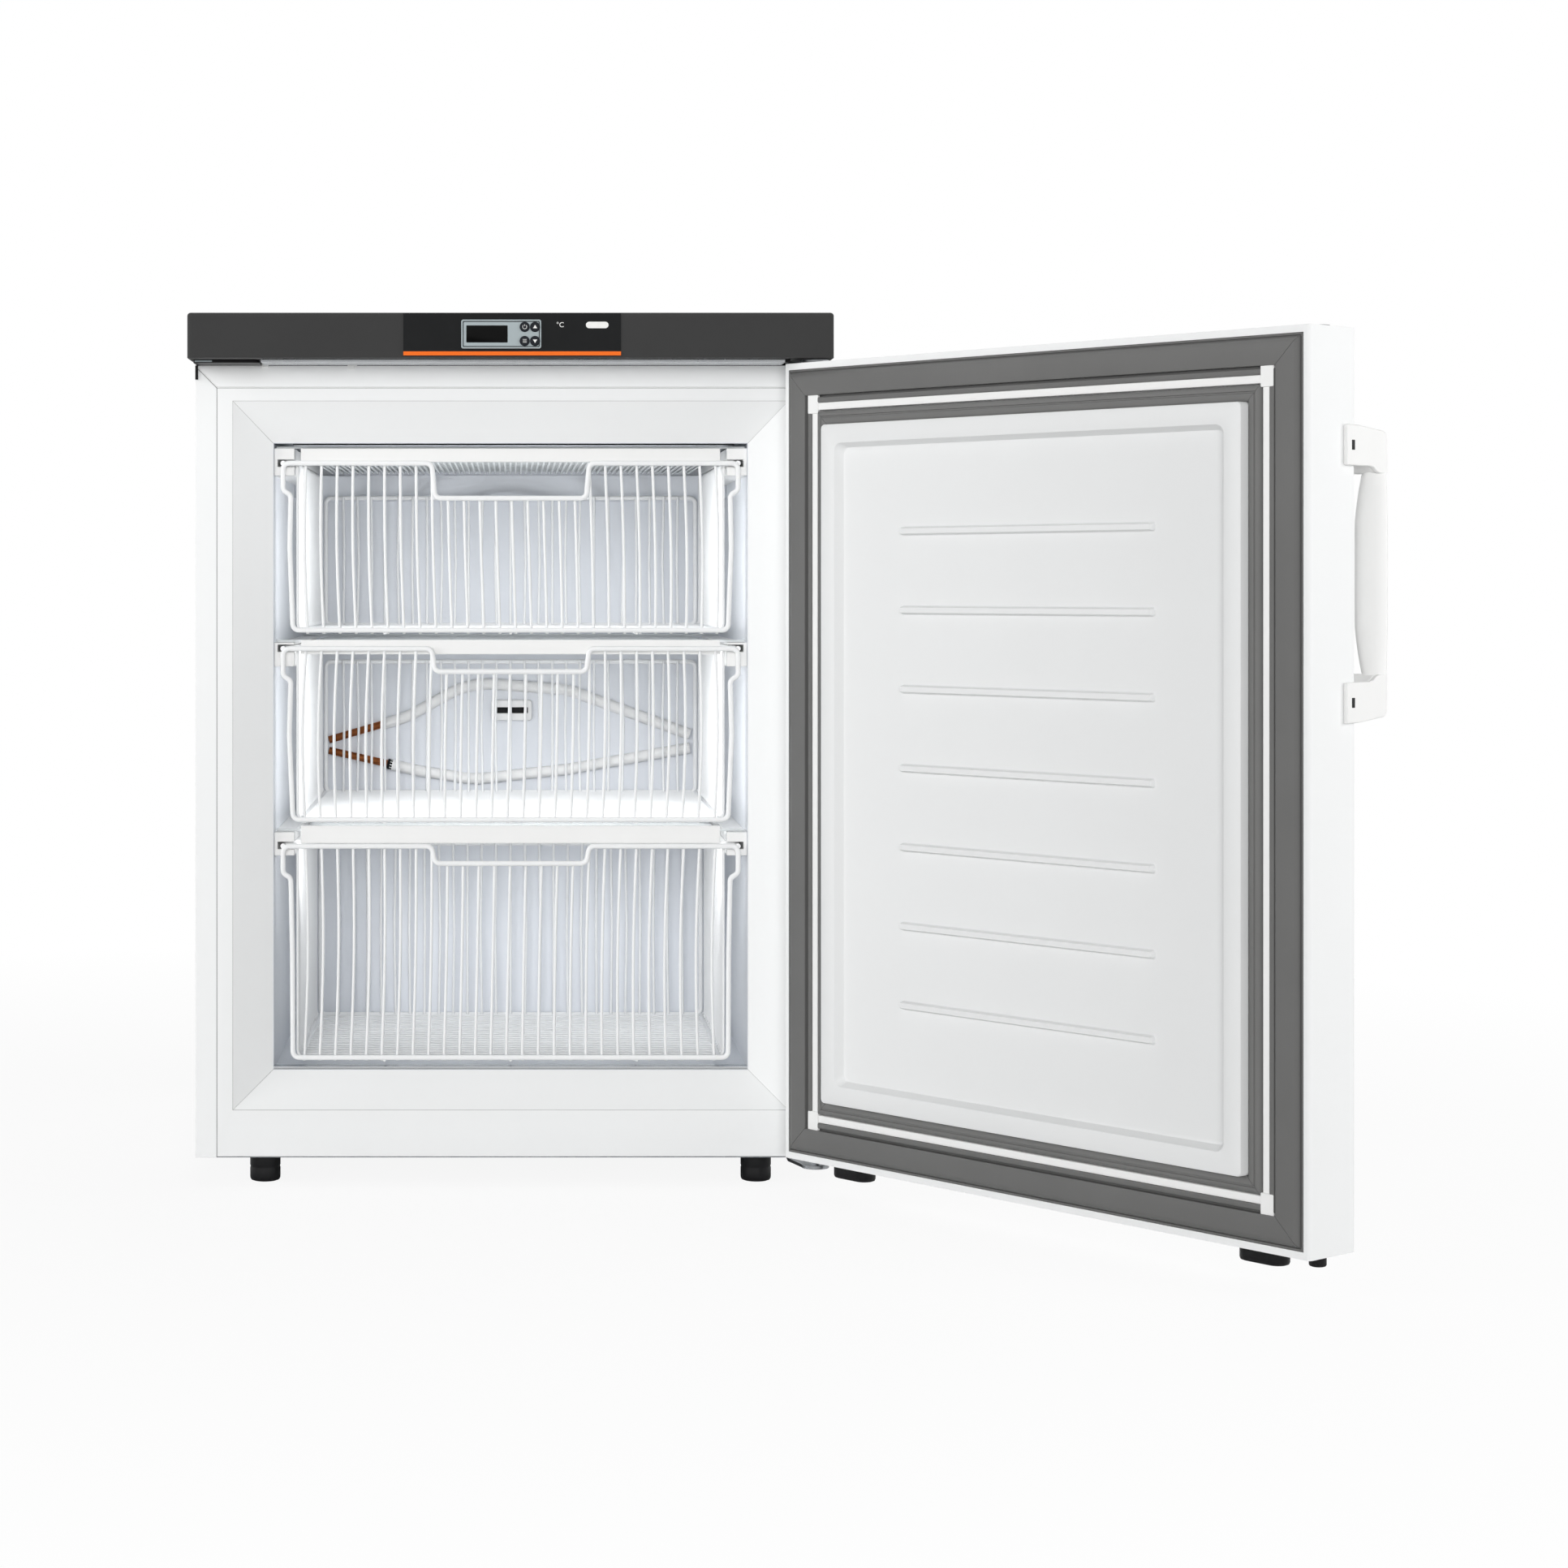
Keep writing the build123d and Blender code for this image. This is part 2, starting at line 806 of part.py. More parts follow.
for name, (across, up) in key_places.items():
    with BuildPart() as key:
        with BuildSketch(bezel_plane.offset(button_travel + button_gap)):
            with Locations((across, up)):
                Circle(button_radius)
        extrude(amount=bezel_thickness + button_proud - button_travel - button_gap)
        chamfer(key.faces().sort_by(Axis.Y)[0].edges(), button_chamfer)
    key.part.label = name
    export_step(key.part, f"parts/{name}.step")

# Small lamp window at the right of the film
with BuildPart() as lamp_window:
    with BuildSketch(Plane.XZ.offset(-overlay_front)):
        with Locations((lamp_x, lamp_z)):
            SlotOverall(lamp_width, lamp_height)
    extrude(amount=lamp_thickness)
lamp_window.part.label = "lamp_window"
export_step(lamp_window.part, "parts/lamp_window.step")

# Door skin: a steel pan whose rim is rolled round to hold the liner
with BuildPart() as door_pan:
    door_slab(0, door_near, door_far)
    fillet(door_pan.edges().filter_by(Axis.Z), door_corner)
    door_slab(door_skin, door_near + door_skin, door_far - door_skin, Mode.SUBTRACT)
    door_slab(edge_border, door_near, door_near + door_skin, Mode.SUBTRACT)
    with BuildSketch(door_face(liner_seat)):
        with Locations((0, door_middle_z)):
            Rectangle(
                door_width - 2 * (edge_border - door_skin), door_height - 2 * (edge_border - door_skin)
            )
            Rectangle(door_width - 2 * edge_border, door_height - 2 * edge_border, mode=Mode.SUBTRACT)
    extrude(amount=liner_seat - door_near)
    for level, depth in ((door_top, -door_skin), (door_bottom, door_skin)):
        with BuildSketch(door_plan.offset(level)):
            with Locations((pin_at, 0)):
                Circle(bush_radius)
        extrude(amount=depth, mode=Mode.SUBTRACT)
door_pan.part.label = "door_pan"
export_step(door_pan.part, "parts/door_pan.step")

# Foam inside the door, open around the hinge bushes
with BuildPart() as door_foam:
    door_slab(door_skin, liner_seat + liner_sheet, door_far - door_skin)
    door_slab(
        plateau_inset + liner_sheet,
        plateau_face + recess_depth + liner_sheet,
        liner_seat + liner_sheet,
    )
    door_ring(
        plateau_inset + liner_sheet,
        plateau_inset + plateau_border - liner_sheet,
        plateau_face + liner_sheet,
        plateau_face + recess_depth + liner_sheet,
    )
    for level, depth in ((door_top, -bush_length), (door_bottom, bush_length)):
        with BuildSketch(door_plan.offset(level)):
            with Locations((pin_at, 0)):
                Circle(bush_radius)
        extrude(amount=depth, mode=Mode.SUBTRACT)
door_foam.part.label = "door_foam"
export_step(door_foam.part, "parts/door_foam.step")

# White door liner: seal seat, raised border and a recessed panel with seven ribs
with BuildPart() as door_liner:
    door_slab(door_skin, liner_seat, liner_seat + liner_sheet)
    with BuildSketch(door_face(liner_seat)):
        with Locations((0, door_middle_z)):
            RectangleRounded(plateau_width, plateau_height, plateau_corner)
    extrude(amount=liner_seat - plateau_face)
    with BuildSketch(door_face(plateau_face)):
        with Locations((0, door_middle_z)):
            RectangleRounded(panel_width, panel_height, panel_corner)
    with BuildSketch(door_face(plateau_face + recess_depth)):
        with Locations((0, door_middle_z)):
            RectangleRounded(
                panel_width - 2 * recess_slope, panel_height - 2 * recess_slope, panel_corner - recess_slope
            )
    loft(mode=Mode.SUBTRACT)
    door_slab(
        plateau_inset + liner_sheet,
        plateau_face + recess_depth + liner_sheet,
        liner_seat + liner_sheet,
        Mode.SUBTRACT,
    )
    door_ring(
        plateau_inset + liner_sheet,
        plateau_inset + plateau_border - liner_sheet,
        plateau_face + liner_sheet,
        plateau_face + recess_depth + liner_sheet,
        Mode.SUBTRACT,
    )
    with BuildSketch(door_face(plateau_face + recess_depth)):
        with Locations((0, door_middle_z)):
            with GridLocations(1, rib_pitch, 1, rib_count):
                Rectangle(rib_length, rib_width)
    extrude(amount=rib_height, taper=rib_draft)
door_liner.part.label = "door_liner"
export_step(door_liner.part, "parts/door_liner.step")

# Seals and their retainer: four bars each, mitred at the corners of the door
outer_gasket = Compound(
    label="outer_gasket",
    children=seal_bars(
        (0, liner_seat),
        (0, gasket_face + gasket_lip_drop),
        (gasket_lip_width, gasket_face),
        (gasket_width, gasket_face),
        (gasket_width, gasket_face + gasket_groove_depth),
        (lip_at, gasket_face + gasket_groove_depth),
        (lip_at, rib_lip_face),
        (retainer_at, rib_lip_face),
        (retainer_at, liner_seat),
    ),
)
export_step(outer_gasket, "parts/outer_gasket.step")

gasket_retainer = Compound(
    label="gasket_retainer",
    children=seal_bars(
        (retainer_at, liner_seat),
        (retainer_at, retainer_face),
        (retainer_at + retainer_width, retainer_face),
        (retainer_at + retainer_width, liner_seat),
    ),
)
export_step(gasket_retainer, "parts/gasket_retainer.step")

inner_gasket = Compound(
    label="inner_gasket",
    children=seal_bars(
        (inner_seal_at, liner_seat),
        (inner_seal_at, inner_gasket_face + inner_gasket_round),
        (inner_seal_at + inner_gasket_round, inner_gasket_face),
        (inner_seal_at + inner_gasket_width - inner_gasket_round, inner_gasket_face),
        (inner_seal_at + inner_gasket_width, inner_gasket_face + inner_gasket_round),
        (inner_seal_at + inner_gasket_width, liner_seat),
    ),
)
export_step(inner_gasket, "parts/inner_gasket.step")

# Hinge bushes pressed into the top and bottom of the door
with BuildPart() as hinge_bushes:
    for level, depth in ((door_top, -bush_length), (door_bottom, bush_length)):
        with BuildSketch(door_plan.offset(level)):
            with Locations((pin_at, 0)):
                Circle(bush_radius)
                Circle(pin_radius + pin_gap, mode=Mode.SUBTRACT)
        extrude(amount=depth)
hinge_bushes.part.label = "hinge_bushes"
export_step(hinge_bushes.part, "parts/hinge_bushes.step")

# Hinge plates on the case, and the pins that the door turns on
with BuildPart() as upper_hinge_plate:
    with BuildSketch(Plane.XY.offset(case_top)):
        hinge_outline(upper_plate_reach)
    extrude(amount=hinge_plate)
upper_hinge_plate.part.label = "upper_hinge_plate"
export_step(upper_hinge_plate.part, "parts/upper_hinge_plate.step")

with BuildPart() as lower_hinge_plate:
    with BuildSketch(Plane.XY.offset(case_bottom - lower_plate)):
        hinge_outline(lower_plate_reach)
    extrude(amount=lower_plate)
lower_hinge_plate.part.label = "lower_hinge_plate"
export_step(lower_hinge_plate.part, "parts/lower_hinge_plate.step")

with BuildPart() as hinge_pins:
    with BuildSketch(Plane.XY.offset(door_top - pin_engagement)):
        with Locations((hinge_x, hinge_y)):
            Circle(pin_radius)
    extrude(amount=cover_bottom - door_top + pin_engagement)
    with BuildSketch(Plane.XY.offset(case_bottom - lower_plate)):
        with Locations((hinge_x, hinge_y)):
            Circle(pin_radius)
    extrude(amount=door_bottom + pin_engagement - case_bottom + lower_plate)
    with BuildSketch(Plane.XY.offset(case_bottom)):
        with Locations((hinge_x, hinge_y)):
            Circle(collar_radius)
    extrude(amount=door_bottom - collar_gap - case_bottom)
hinge_pins.part.label = "hinge_pins"
export_step(hinge_pins.part, "parts/hinge_pins.step")

# Hexagon heads of the bolts that hold the two plates
with BuildPart() as hinge_bolts:
    for level, turn, reach in (
        (cover_bottom, 1, upper_plate_reach),
        (case_bottom - lower_plate, -1, lower_plate_reach),
    ):
        with BuildSketch(Plane.XY.offset(level)):
            with Locations(*bolt_places(reach)):
                RegularPolygon(bolt_head, 6)
        extrude(amount=turn * bolt_head_height)
hinge_bolts.part.label = "hinge_bolts"
export_step(hinge_bolts.part, "parts/hinge_bolts.step")

# Cap over the unused hinge seat at the left
with BuildPart() as hinge_cap:
    with BuildSketch(Plane.XY.offset(case_top)):
        with Locations((cap_x, front_y + cap_seat / 2 - cap_reach / 2)):
            Rectangle(cap_width, cap_seat + cap_reach)
    extrude(amount=hinge_plate)
    fillet(hinge_cap.edges().filter_by(Axis.Z).group_by(Axis.Y)[0], cap_corner)
hinge_cap.part.label = "hinge_cap"
export_step(hinge_cap.part, "parts/hinge_cap.step")

# Blanking plug over the unused bush seat on top of the door
with BuildPart() as door_plug:
    with BuildSketch(door_plan.offset(door_top)):
        with Locations((-pin_at, 0)):
            Circle(plug_radius)
    extrude(amount=plug_proud)
door_plug.part.label = "door_plug"
export_step(door_plug.part, "parts/door_plug.step")

# Stops under both ends of the door, joined to a corner boss by a thin web
with BuildPart() as door_stops:
    for hand, reach in ((-1, web_length), (1, stop_inset - hinge_inset)):
        with BuildSketch(door_plan.offset(door_bottom)):
            with Locations((hand * (door_half - stop_inset), 0)):
                SlotOverall(stop_length, stop_width)
        extrude(amount=-stop_drop)
        with BuildSketch(door_plan.offset(door_bottom)):
            with Locations((hand * (door_half - stop_inset + reach / 2), 0)):
                Rectangle(reach, web_width)
        extrude(amount=-web_drop)
    with BuildSketch(door_plan.offset(door_bottom)):
        with Locations((-pin_at, 0)):
            Circle(boss_radius)
    extrude(amount=-boss_drop)
door_stops.part.label = "door_stops"
export_step(door_stops.part, "parts/door_stops.step")

# Handle: two brackets screwed to the free side of the door and a bowed grip between them
arm_start = door_far - hinge_gap
arm_end = arm_start + handle_reach
handle_top = handle_bottom + handle_height
with BuildPart() as handle_brackets:
    for low in (handle_bottom, handle_top - handle_bracket):
        with BuildSketch(door_side):
            with Locations((arm_end - (handle_reach + handle_lap) / 2, low + handle_bracket / 2)):
                Rectangle(handle_reach + handle_lap, handle_bracket)
        extrude(amount=handle_plate)
        with BuildSketch(door_side):
            with Locations((arm_end - handle_reach / 2, low + handle_bracket / 2)):
                Rectangle(handle_reach, handle_bracket)
        extrude(amount=handle_plate - handle_width)
    tips = handle_brackets.faces().sort_by(door_axis_out)[-2:].edges().filter_by(door_axis_along)
    fillet([tips.sort_by(Axis.Z)[0], tips.sort_by(Axis.Z)[-1]], handle_round)
handle_brackets.part.label = "handle_brackets"
export_step(handle_brackets.part, "parts/handle_brackets.step")

with BuildPart() as handle_grip:
    with BuildSketch(door_side.offset(handle_plate)):
        with BuildLine():
            low = handle_bottom + handle_bracket
            high = handle_top - handle_bracket
            middle = (low + high) / 2
            ThreePointArc((arm_end, low), (arm_end + grip_bulge, middle), (arm_end, high))
            Line((arm_end, high), (arm_end - grip_thickness, high))
            ThreePointArc(
                (arm_end - grip_thickness, high),
                (arm_end - grip_thickness + grip_bulge, middle),
                (arm_end - grip_thickness, low),
            )
            Line((arm_end - grip_thickness, low), (arm_end, low))
        make_face()
    extrude(amount=-handle_width)
    fillet(handle_grip.faces().sort_by(door_axis_out)[-1].edges().filter_by(GeomType.CIRCLE), grip_round)
handle_grip.part.label = "handle_grip"
export_step(handle_grip.part, "parts/handle_grip.step")

with BuildPart() as handle_screws:
    for height in (handle_bottom + handle_bracket / 2, handle_top - handle_bracket / 2):
        with BuildSketch(door_side.offset(handle_plate)):
            with Locations((arm_start - handle_lap / 2, height)):
                Circle(handle_screw)
        extrude(amount=handle_screw_proud)
handle_screws.part.label = "handle_screws"
export_step(handle_screws.part, "parts/handle_screws.step")

# Levelling feet: the front pair turn on their threads, the rear pair are fixed
for hand, name in ((-1, "front_foot_left"), (1, "front_foot_right")):
    with BuildPart() as front_foot:
        with BuildSketch(Plane.XY):
            with Locations((hand * foot_x, front_foot_y)):
                Circle(foot_radius)
        extrude(amount=case_bottom - foot_gap)
        with BuildSketch(Plane.XY.offset(case_bottom - foot_gap)):
            with Locations((hand * foot_x, front_foot_y)):
                Circle(stem_radius)
        extrude(amount=stem_length)
    front_foot.part.label = name
    export_step(front_foot.part, f"parts/{name}.step")

with BuildPart() as rear_feet:
    with BuildSketch(Plane.XY):
        with Locations((-foot_x, rear_foot_y), (foot_x, rear_foot_y)):
            Circle(foot_radius)
    extrude(amount=case_bottom)
rear_feet.part.label = "rear_feet"
export_step(rear_feet.part, "parts/rear_feet.step")

# Rails on both walls of each compartment: channels that the baskets' rims slide in
with BuildPart() as basket_rails:
    for sizes in compartments.values():
        slot_floor = sizes.rim - rim_radius - slot_floor_gap
        slot_roof = sizes.rim + rim_radius + slot_roof_gap
        for hand in (-1, 1):
            with BuildSketch(Plane.XZ.offset(-rail_front)):
                with BuildLine():
                    Polyline(
                        (hand * opening_half, sizes.rail_low),
                        (hand * rail_inner, sizes.rail_low),
                        (hand * rail_inner, slot_floor),
                        (hand * rail_slot_x, slot_floor),
                        (hand * rail_slot_x, slot_roof),
                        (hand * rail_inner, slot_roof),
                        (hand * rail_inner, sizes.rail_high),
                        (hand * opening_half, sizes.rail_high),
                        close=True,
                    )
                make_face()
            extrude(amount=-(sizes.back + rail_end_gap - rail_front))
basket_rails.part.label = "basket_rails"
export_step(basket_rails.part, "parts/basket_rails.step")

# Evaporator shelves: a serpentine tube with wires welded under it, hung from bars on the rails
for level, sizes in compartments.items():
    tube_z = sizes.rail_high - shelf_tube / 2
    first_y = rail_front + trim_thickness + shelf_tube / 2
    pass_pitch = (sizes.back - first_y) / (shelf_passes - 1)
    turn = shelf_half_width - shelf_tube / 2
    route = serpentine(turn, pass_pitch, shelf_passes, lambda x, y: (x, first_y + y, tube_z))
    with BuildPart() as shelf_pipe:
        with BuildLine():
            Polyline(*route)
        with BuildSketch(Plane(origin=route[0], x_dir=(0, 1, 0), z_dir=(1, 0, 0))):
            RegularPolygon(shelf_tube / 2, 6, major_radius=False, rotation=30)
        sweep(transition=Transition.RIGHT)
    with BuildPart() as wires_below:
        with BuildSketch(Plane.XZ.offset(-(rail_front + trim_thickness))):
            with Locations((0, tube_z - (shelf_tube + shelf_wire) / 2)):
                with GridLocations(shelf_wire_pitch, 1, shelf_wires, 1):
                    Rectangle(shelf_wire, shelf_wire)
        extrude(amount=-(sizes.back - rail_front - trim_thickness + shelf_tube))
    with BuildPart() as bars_above:
        with BuildSketch(Plane.YZ):
            with Locations(
                (first_y, sizes.rail_high + shelf_wire / 2),
                (first_y + (shelf_passes - 1) * pass_pitch, sizes.rail_high + shelf_wire / 2),
            ):
                Rectangle(shelf_wire, shelf_wire)
        extrude(amount=opening_half - shelf_bar_gap, both=True)
    welded = shelf_pipe.part.solids() + wires_below.part.solids() + bars_above.part.solids()
    shelf = Compound(label=f"evaporator_{level}", children=welded)
    export_step(shelf, f"parts/evaporator_{level}.step")

# White trims over the front edges of the shelves
with BuildPart() as shelf_trims:
    for sizes in compartments.values():
        with BuildSketch(Plane.XZ.offset(-rail_front)):
            with Locations((0, (sizes.trim_low + sizes.trim_high) / 2)):
                Rectangle(2 * shelf_half_width, sizes.trim_high - sizes.trim_low)
        extrude(amount=-trim_thickness)
shelf_trims.part.label = "shelf_trims"
export_step(shelf_trims.part, "parts/shelf_trims.step")


def basket_front_panel(sizes):
    """Front of a basket: a bent outline wire with a hand notch, and upright wires welded behind it."""
    body = rim_half_width - shoulder_step
    outline = [
        (-rim_half_width, basket_front, sizes.rim),
        (-notch_half_width, basket_front, sizes.rim),
        (-notch_half_width, basket_front, sizes.notch),
        (notch_half_width, basket_front, sizes.notch),
        (notch_half_width, basket_front, sizes.rim),
        (rim_half_width, basket_front, sizes.rim),
        (rim_half_width, basket_front, sizes.rim - shoulder_drop),
        (body, basket_front, sizes.rim - shoulder_drop),
        (body, basket_front, sizes.floor),
        (-body, basket_front, sizes.floor),
        (-body, basket_front, sizes.rim - shoulder_drop),
        (-rim_half_width, basket_front, sizes.rim - shoulder_drop),
    ]
    wires = 2 * int((body - rim_wire) / wire_pitch) + 1
    inside_notch = 2 * int((notch_half_width - rim_wire) / wire_pitch) + 1
    foot = sizes.floor - rim_radius
    with BuildPart() as bent_wire:
        with BuildLine() as path:
            Polyline(*outline, close=True)
        with BuildSketch(Plane(origin=outline[0], x_dir=(0, 1, 0), z_dir=(1, 0, 0))):
            RegularPolygon(rim_radius, 6, major_radius=False, rotation=30)
        sweep(path=path.wires()[0], transition=Transition.RIGHT)
    with BuildPart() as uprights:
        with BuildSketch(Plane.XY.offset(foot)):
            with Locations((0, mesh_y)):
                with GridLocations(wire_pitch, 1, wires, 1):
                    Rectangle(mesh_wire, mesh_wire)
                with GridLocations(wire_pitch, 1, inside_notch, 1):
                    Rectangle(mesh_wire, mesh_wire, mode=Mode.SUBTRACT)
        extrude(amount=sizes.rim - foot)
        with BuildSketch(Plane.XY.offset(foot)):
            with Locations((0, mesh_y)):
                with GridLocations(wire_pitch, 1, inside_notch, 1):
                    Rectangle(mesh_wire, mesh_wire)
        extrude(amount=sizes.notch - foot)
    cut = notch_half_width - rim_radius
    left = split(bent_wire.part, Plane.YZ.offset(-cut), keep=Keep.BOTTOM)
    rest = split(bent_wire.part, Plane.YZ.offset(-cut), keep=Keep.TOP)
    middle = split(rest, Plane.YZ.offset(cut), keep=Keep.BOTTOM)
    right = split(rest, Plane.YZ.offset(cut), keep=Keep.TOP)
    return [left, middle, right, uprights.part]


def basket_back_panel(sizes):
    """Back of a basket: a plain outline wire, lower than the rim, with upright wires."""
    half = side_frame_x
    top = sizes.rim - back_drop
    wires = 2 * int((half - rim_wire) / back_pitch) + 1
    with BuildPart() as bent_wire:
        with BuildLine() as path:
            Polyline(
                (-half, sizes.back, top),
                (half, sizes.back, top),
                (half, sizes.back, sizes.floor),
                (-half, sizes.back, sizes.floor),
                close=True,
            )
        with BuildSketch(Plane(origin=(-half, sizes.back, top), x_dir=(0, 1, 0), z_dir=(1, 0, 0))):
            RegularPolygon(rim_radius, 6, major_radius=False, rotation=30)
        sweep(path=path.wires()[0], transition=Transition.RIGHT)
    with BuildPart() as uprights:
        with BuildSketch(Plane.XY.offset(sizes.floor - rim_radius)):
            with Locations((0, sizes.back - mesh_offset)):
                with GridLocations(back_pitch, 1, wires, 1):
                    Rectangle(mesh_wire, mesh_wire)
        extrude(amount=top - sizes.floor + rim_radius)
    return [bent_wire.part, uprights.part]


def side_wire_places(sizes):
    """Distances from front to back at which a wire goes down one side, across the floor and up the other."""
    first = basket_front + rim_radius + rim_wire
    last = sizes.back - rim_radius - mesh_radius - mesh_wire
    count = round((last - first) / side_pitch) + 1
    return [first + i * (last - first) / (count - 1) for i in range(count)]


def basket_side_panel(sizes, hand):
    """Side of a basket: the rim wire that runs in the rail, hooked wires and a bottom wire."""
    near = basket_front + rim_radius
    far = sizes.back - rim_radius
    places = side_wire_places(sizes)
    first, last = places[0], places[-1]
    with BuildPart() as long_wires:
        with BuildSketch(Plane.XZ.offset(-near)):
            with Locations((hand * rim_half_width, sizes.rim), (hand * side_frame_x, sizes.floor)):
                RegularPolygon(rim_radius, 6, major_radius=False)
        extrude(amount=near - far)
    with BuildPart() as hooks:
        with BuildSketch(Plane.XZ.offset(-(first + last) / 2)):
            with BuildLine():
                Polyline(
                    (hand * (rim_half_width - rim_radius), sizes.rim - mesh_radius),
                    (hand * (rim_half_width - rim_radius), sizes.rim + mesh_radius),
                    (hand * (side_half_width - mesh_radius), sizes.rim + mesh_radius),
                    (hand * (side_half_width - mesh_radius), sizes.floor - rim_radius),
                    (hand * (side_half_width + mesh_radius), sizes.floor - rim_radius),
                    (hand * (side_half_width + mesh_radius), sizes.rim - mesh_radius),
                    close=True,
                )
            make_face()
        hook = extrude(amount=mesh_radius, both=True, mode=Mode.PRIVATE)
        for y in places:
            add(hook.moved(Location((0, y - (first + last) / 2, 0))))
    return [long_wires.part, hooks.part]


def basket_floor_panel(sizes):
    """Floor of a basket: the side wires go on across it, over a few runners from front to back."""
    top = sizes.floor - rim_radius
    start = mesh_y - mesh_radius
    end = sizes.back - mesh_offset + mesh_radius
    with BuildPart() as runner_wires:
        with BuildSketch(Plane.XZ.offset(-start)):
            with Locations((0, top - mesh_radius)):
                with GridLocations(runner_pitch, 1, runners, 1):
                    Rectangle(mesh_wire, mesh_wire)
        extrude(amount=start - end)
    with BuildPart() as cross_wires:
        with BuildSketch(Plane.YZ):
            with Locations(*[(y, top + mesh_radius) for y in side_wire_places(sizes)]):
                Rectangle(mesh_wire, mesh_wire)
        extrude(amount=side_frame_x - rim_radius, both=True)
    return [runner_wires.part, cross_wires.part]


# Three baskets of coated wire: each wire is a solid of its own that touches those it is welded to
for level, sizes in compartments.items():
    panels = basket_front_panel(sizes) + basket_back_panel(sizes) + basket_floor_panel(sizes)
    panels += basket_side_panel(sizes, -1) + basket_side_panel(sizes, 1)
    solids = [solid for panel in panels for solid in panel.solids()]
    basket = Compound(label=f"basket_{level}", children=solids)
    export_step(basket, f"parts/basket_{level}.step")


def wall_tube(route, radius, bend):
    """Tube along the back wall through a list of (x, z) points."""
    points = [(x, link_y, z) for x, z in route]
    with BuildLine() as path:
        if bend:
            FilletPolyline(*points, radius=bend)
        else:
            Polyline(*points)
    along = (points[1][0] - points[0][0], 0, points[1][2] - points[0][2])
    with BuildSketch(Plane(origin=points[0], x_dir=(0, 1, 0), z_dir=along)) as section:
        RegularPolygon(radius, 8)
    sweep(section.sketch, path=path.wires()[0])


def link_split(route, share):
    """Point on the first stretch of a route, this far along X from its start."""
    (x, z), (next_x, next_z) = route[:2]
    return (x + share, z + share * (next_z - z) / (next_x - x))


# Copper link between two evaporators on the back wall, running into white sleeves
link_y = cavity_back - sleeve_radius
upper_split = link_split(upper_link, upper_joint)
lower_split = link_split(lower_link, lower_joint)
with BuildPart() as refrigerant_link:
    wall_tube((upper_link[0], upper_split), link_radius, 0)
    wall_tube((lower_link[0], lower_split), link_radius, 0)
refrigerant_link.part.label = "refrigerant_link"
export_step(refrigerant_link.part, "parts/refrigerant_link.step")

with BuildPart() as upper_sleeve:
    wall_tube((upper_split, *upper_link[1:]), sleeve_radius, link_bend)
with BuildPart() as lower_sleeve:
    wall_tube((lower_split, *lower_link[1:]), sleeve_radius, link_bend)
link_sleeves = Compound(
    label="link_sleeves", children=[upper_sleeve.part.solid(), lower_sleeve.part.solid()]
)
export_step(link_sleeves, "parts/link_sleeves.step")

# Sensor clip on the back wall, with a slot across its face
with BuildPart() as sensor_clip:
    with BuildSketch(Plane.XZ.offset(-cavity_back)):
        with Locations((sensor_x, sensor_z)):
            RectangleRounded(sensor_width, sensor_height, sensor_corner)
    extrude(amount=sensor_depth)
    with BuildSketch(Plane.XZ.offset(-cavity_back + sensor_depth)):
        with Locations((sensor_x, sensor_z)):
            Rectangle(sensor_width - 2 * sensor_corner, sensor_slot)
    extrude(amount=-sensor_depth / 2, mode=Mode.SUBTRACT)
sensor_clip.part.label = "sensor_clip"
export_step(sensor_clip.part, "parts/sensor_clip.step")

# Compressor: a stepped pot with a seam, on a plate carried by four grommets
plate_bottom = case_bottom + deck_sheet + grommet_height
pot_bottom = plate_bottom + compressor_plate
pot_top = pot_bottom + compressor_height
seam_z = pot_bottom + compressor_seam
with BuildPart() as compressor:
    with BuildSketch(Plane.XY.offset(pot_bottom)):
        with Locations((compressor_x, compressor_y)):
            Circle(compressor_radius)
    extrude(amount=compressor_height - pot_crown)
    with BuildSketch(Plane.XY.offset(pot_top - pot_crown)):
        with Locations((compressor_x, compressor_y)):
            Circle(compressor_radius - pot_shoulder)
    extrude(amount=pot_crown)
    with BuildSketch(Plane.XY.offset(seam_z)):
        with Locations((compressor_x, compressor_y)):
            Circle(compressor_radius + seam_proud)
    extrude(amount=seam_height)
    with BuildSketch(Plane.XY.offset(plate_bottom)):
        with Locations((compressor_x, compressor_y)):
            RectangleRounded(
                grommet_pitch_x + plate_margin, grommet_pitch_y + plate_margin, grommet_radius
            )
    extrude(amount=compressor_plate)
compressor.part.label = "compressor"
export_step(compressor.part, "parts/compressor.step")

with BuildPart() as compressor_grommets:
    with BuildSketch(Plane.XY.offset(case_bottom + deck_sheet)):
        with Locations((compressor_x, compressor_y)):
            with GridLocations(grommet_pitch_x, grommet_pitch_y, 2, 2):
                Circle(grommet_radius)
    extrude(amount=grommet_height)
compressor_grommets.part.label = "compressor_grommets"
export_step(compressor_grommets.part, "parts/compressor_grommets.step")

# Relay box hugging the side of the pot
with BuildPart() as relay_box:
    block(
        (compressor_x - compressor_radius - relay_depth, compressor_x),
        (compressor_y - relay_width / 2, compressor_y + relay_width / 2),
        (seam_z + seam_height + relay_gap, seam_z + seam_height + relay_gap + relay_height),
    )
    with Locations((compressor_x, compressor_y, seam_z)):
        Cylinder(compressor_radius + relay_gap, 3 * relay_height, mode=Mode.SUBTRACT)
    fillet(relay_box.edges().filter_by(Axis.Z).group_by(Axis.X)[0], relay_corner)
relay_box.part.label = "relay_box"
export_step(relay_box.part, "parts/relay_box.step")

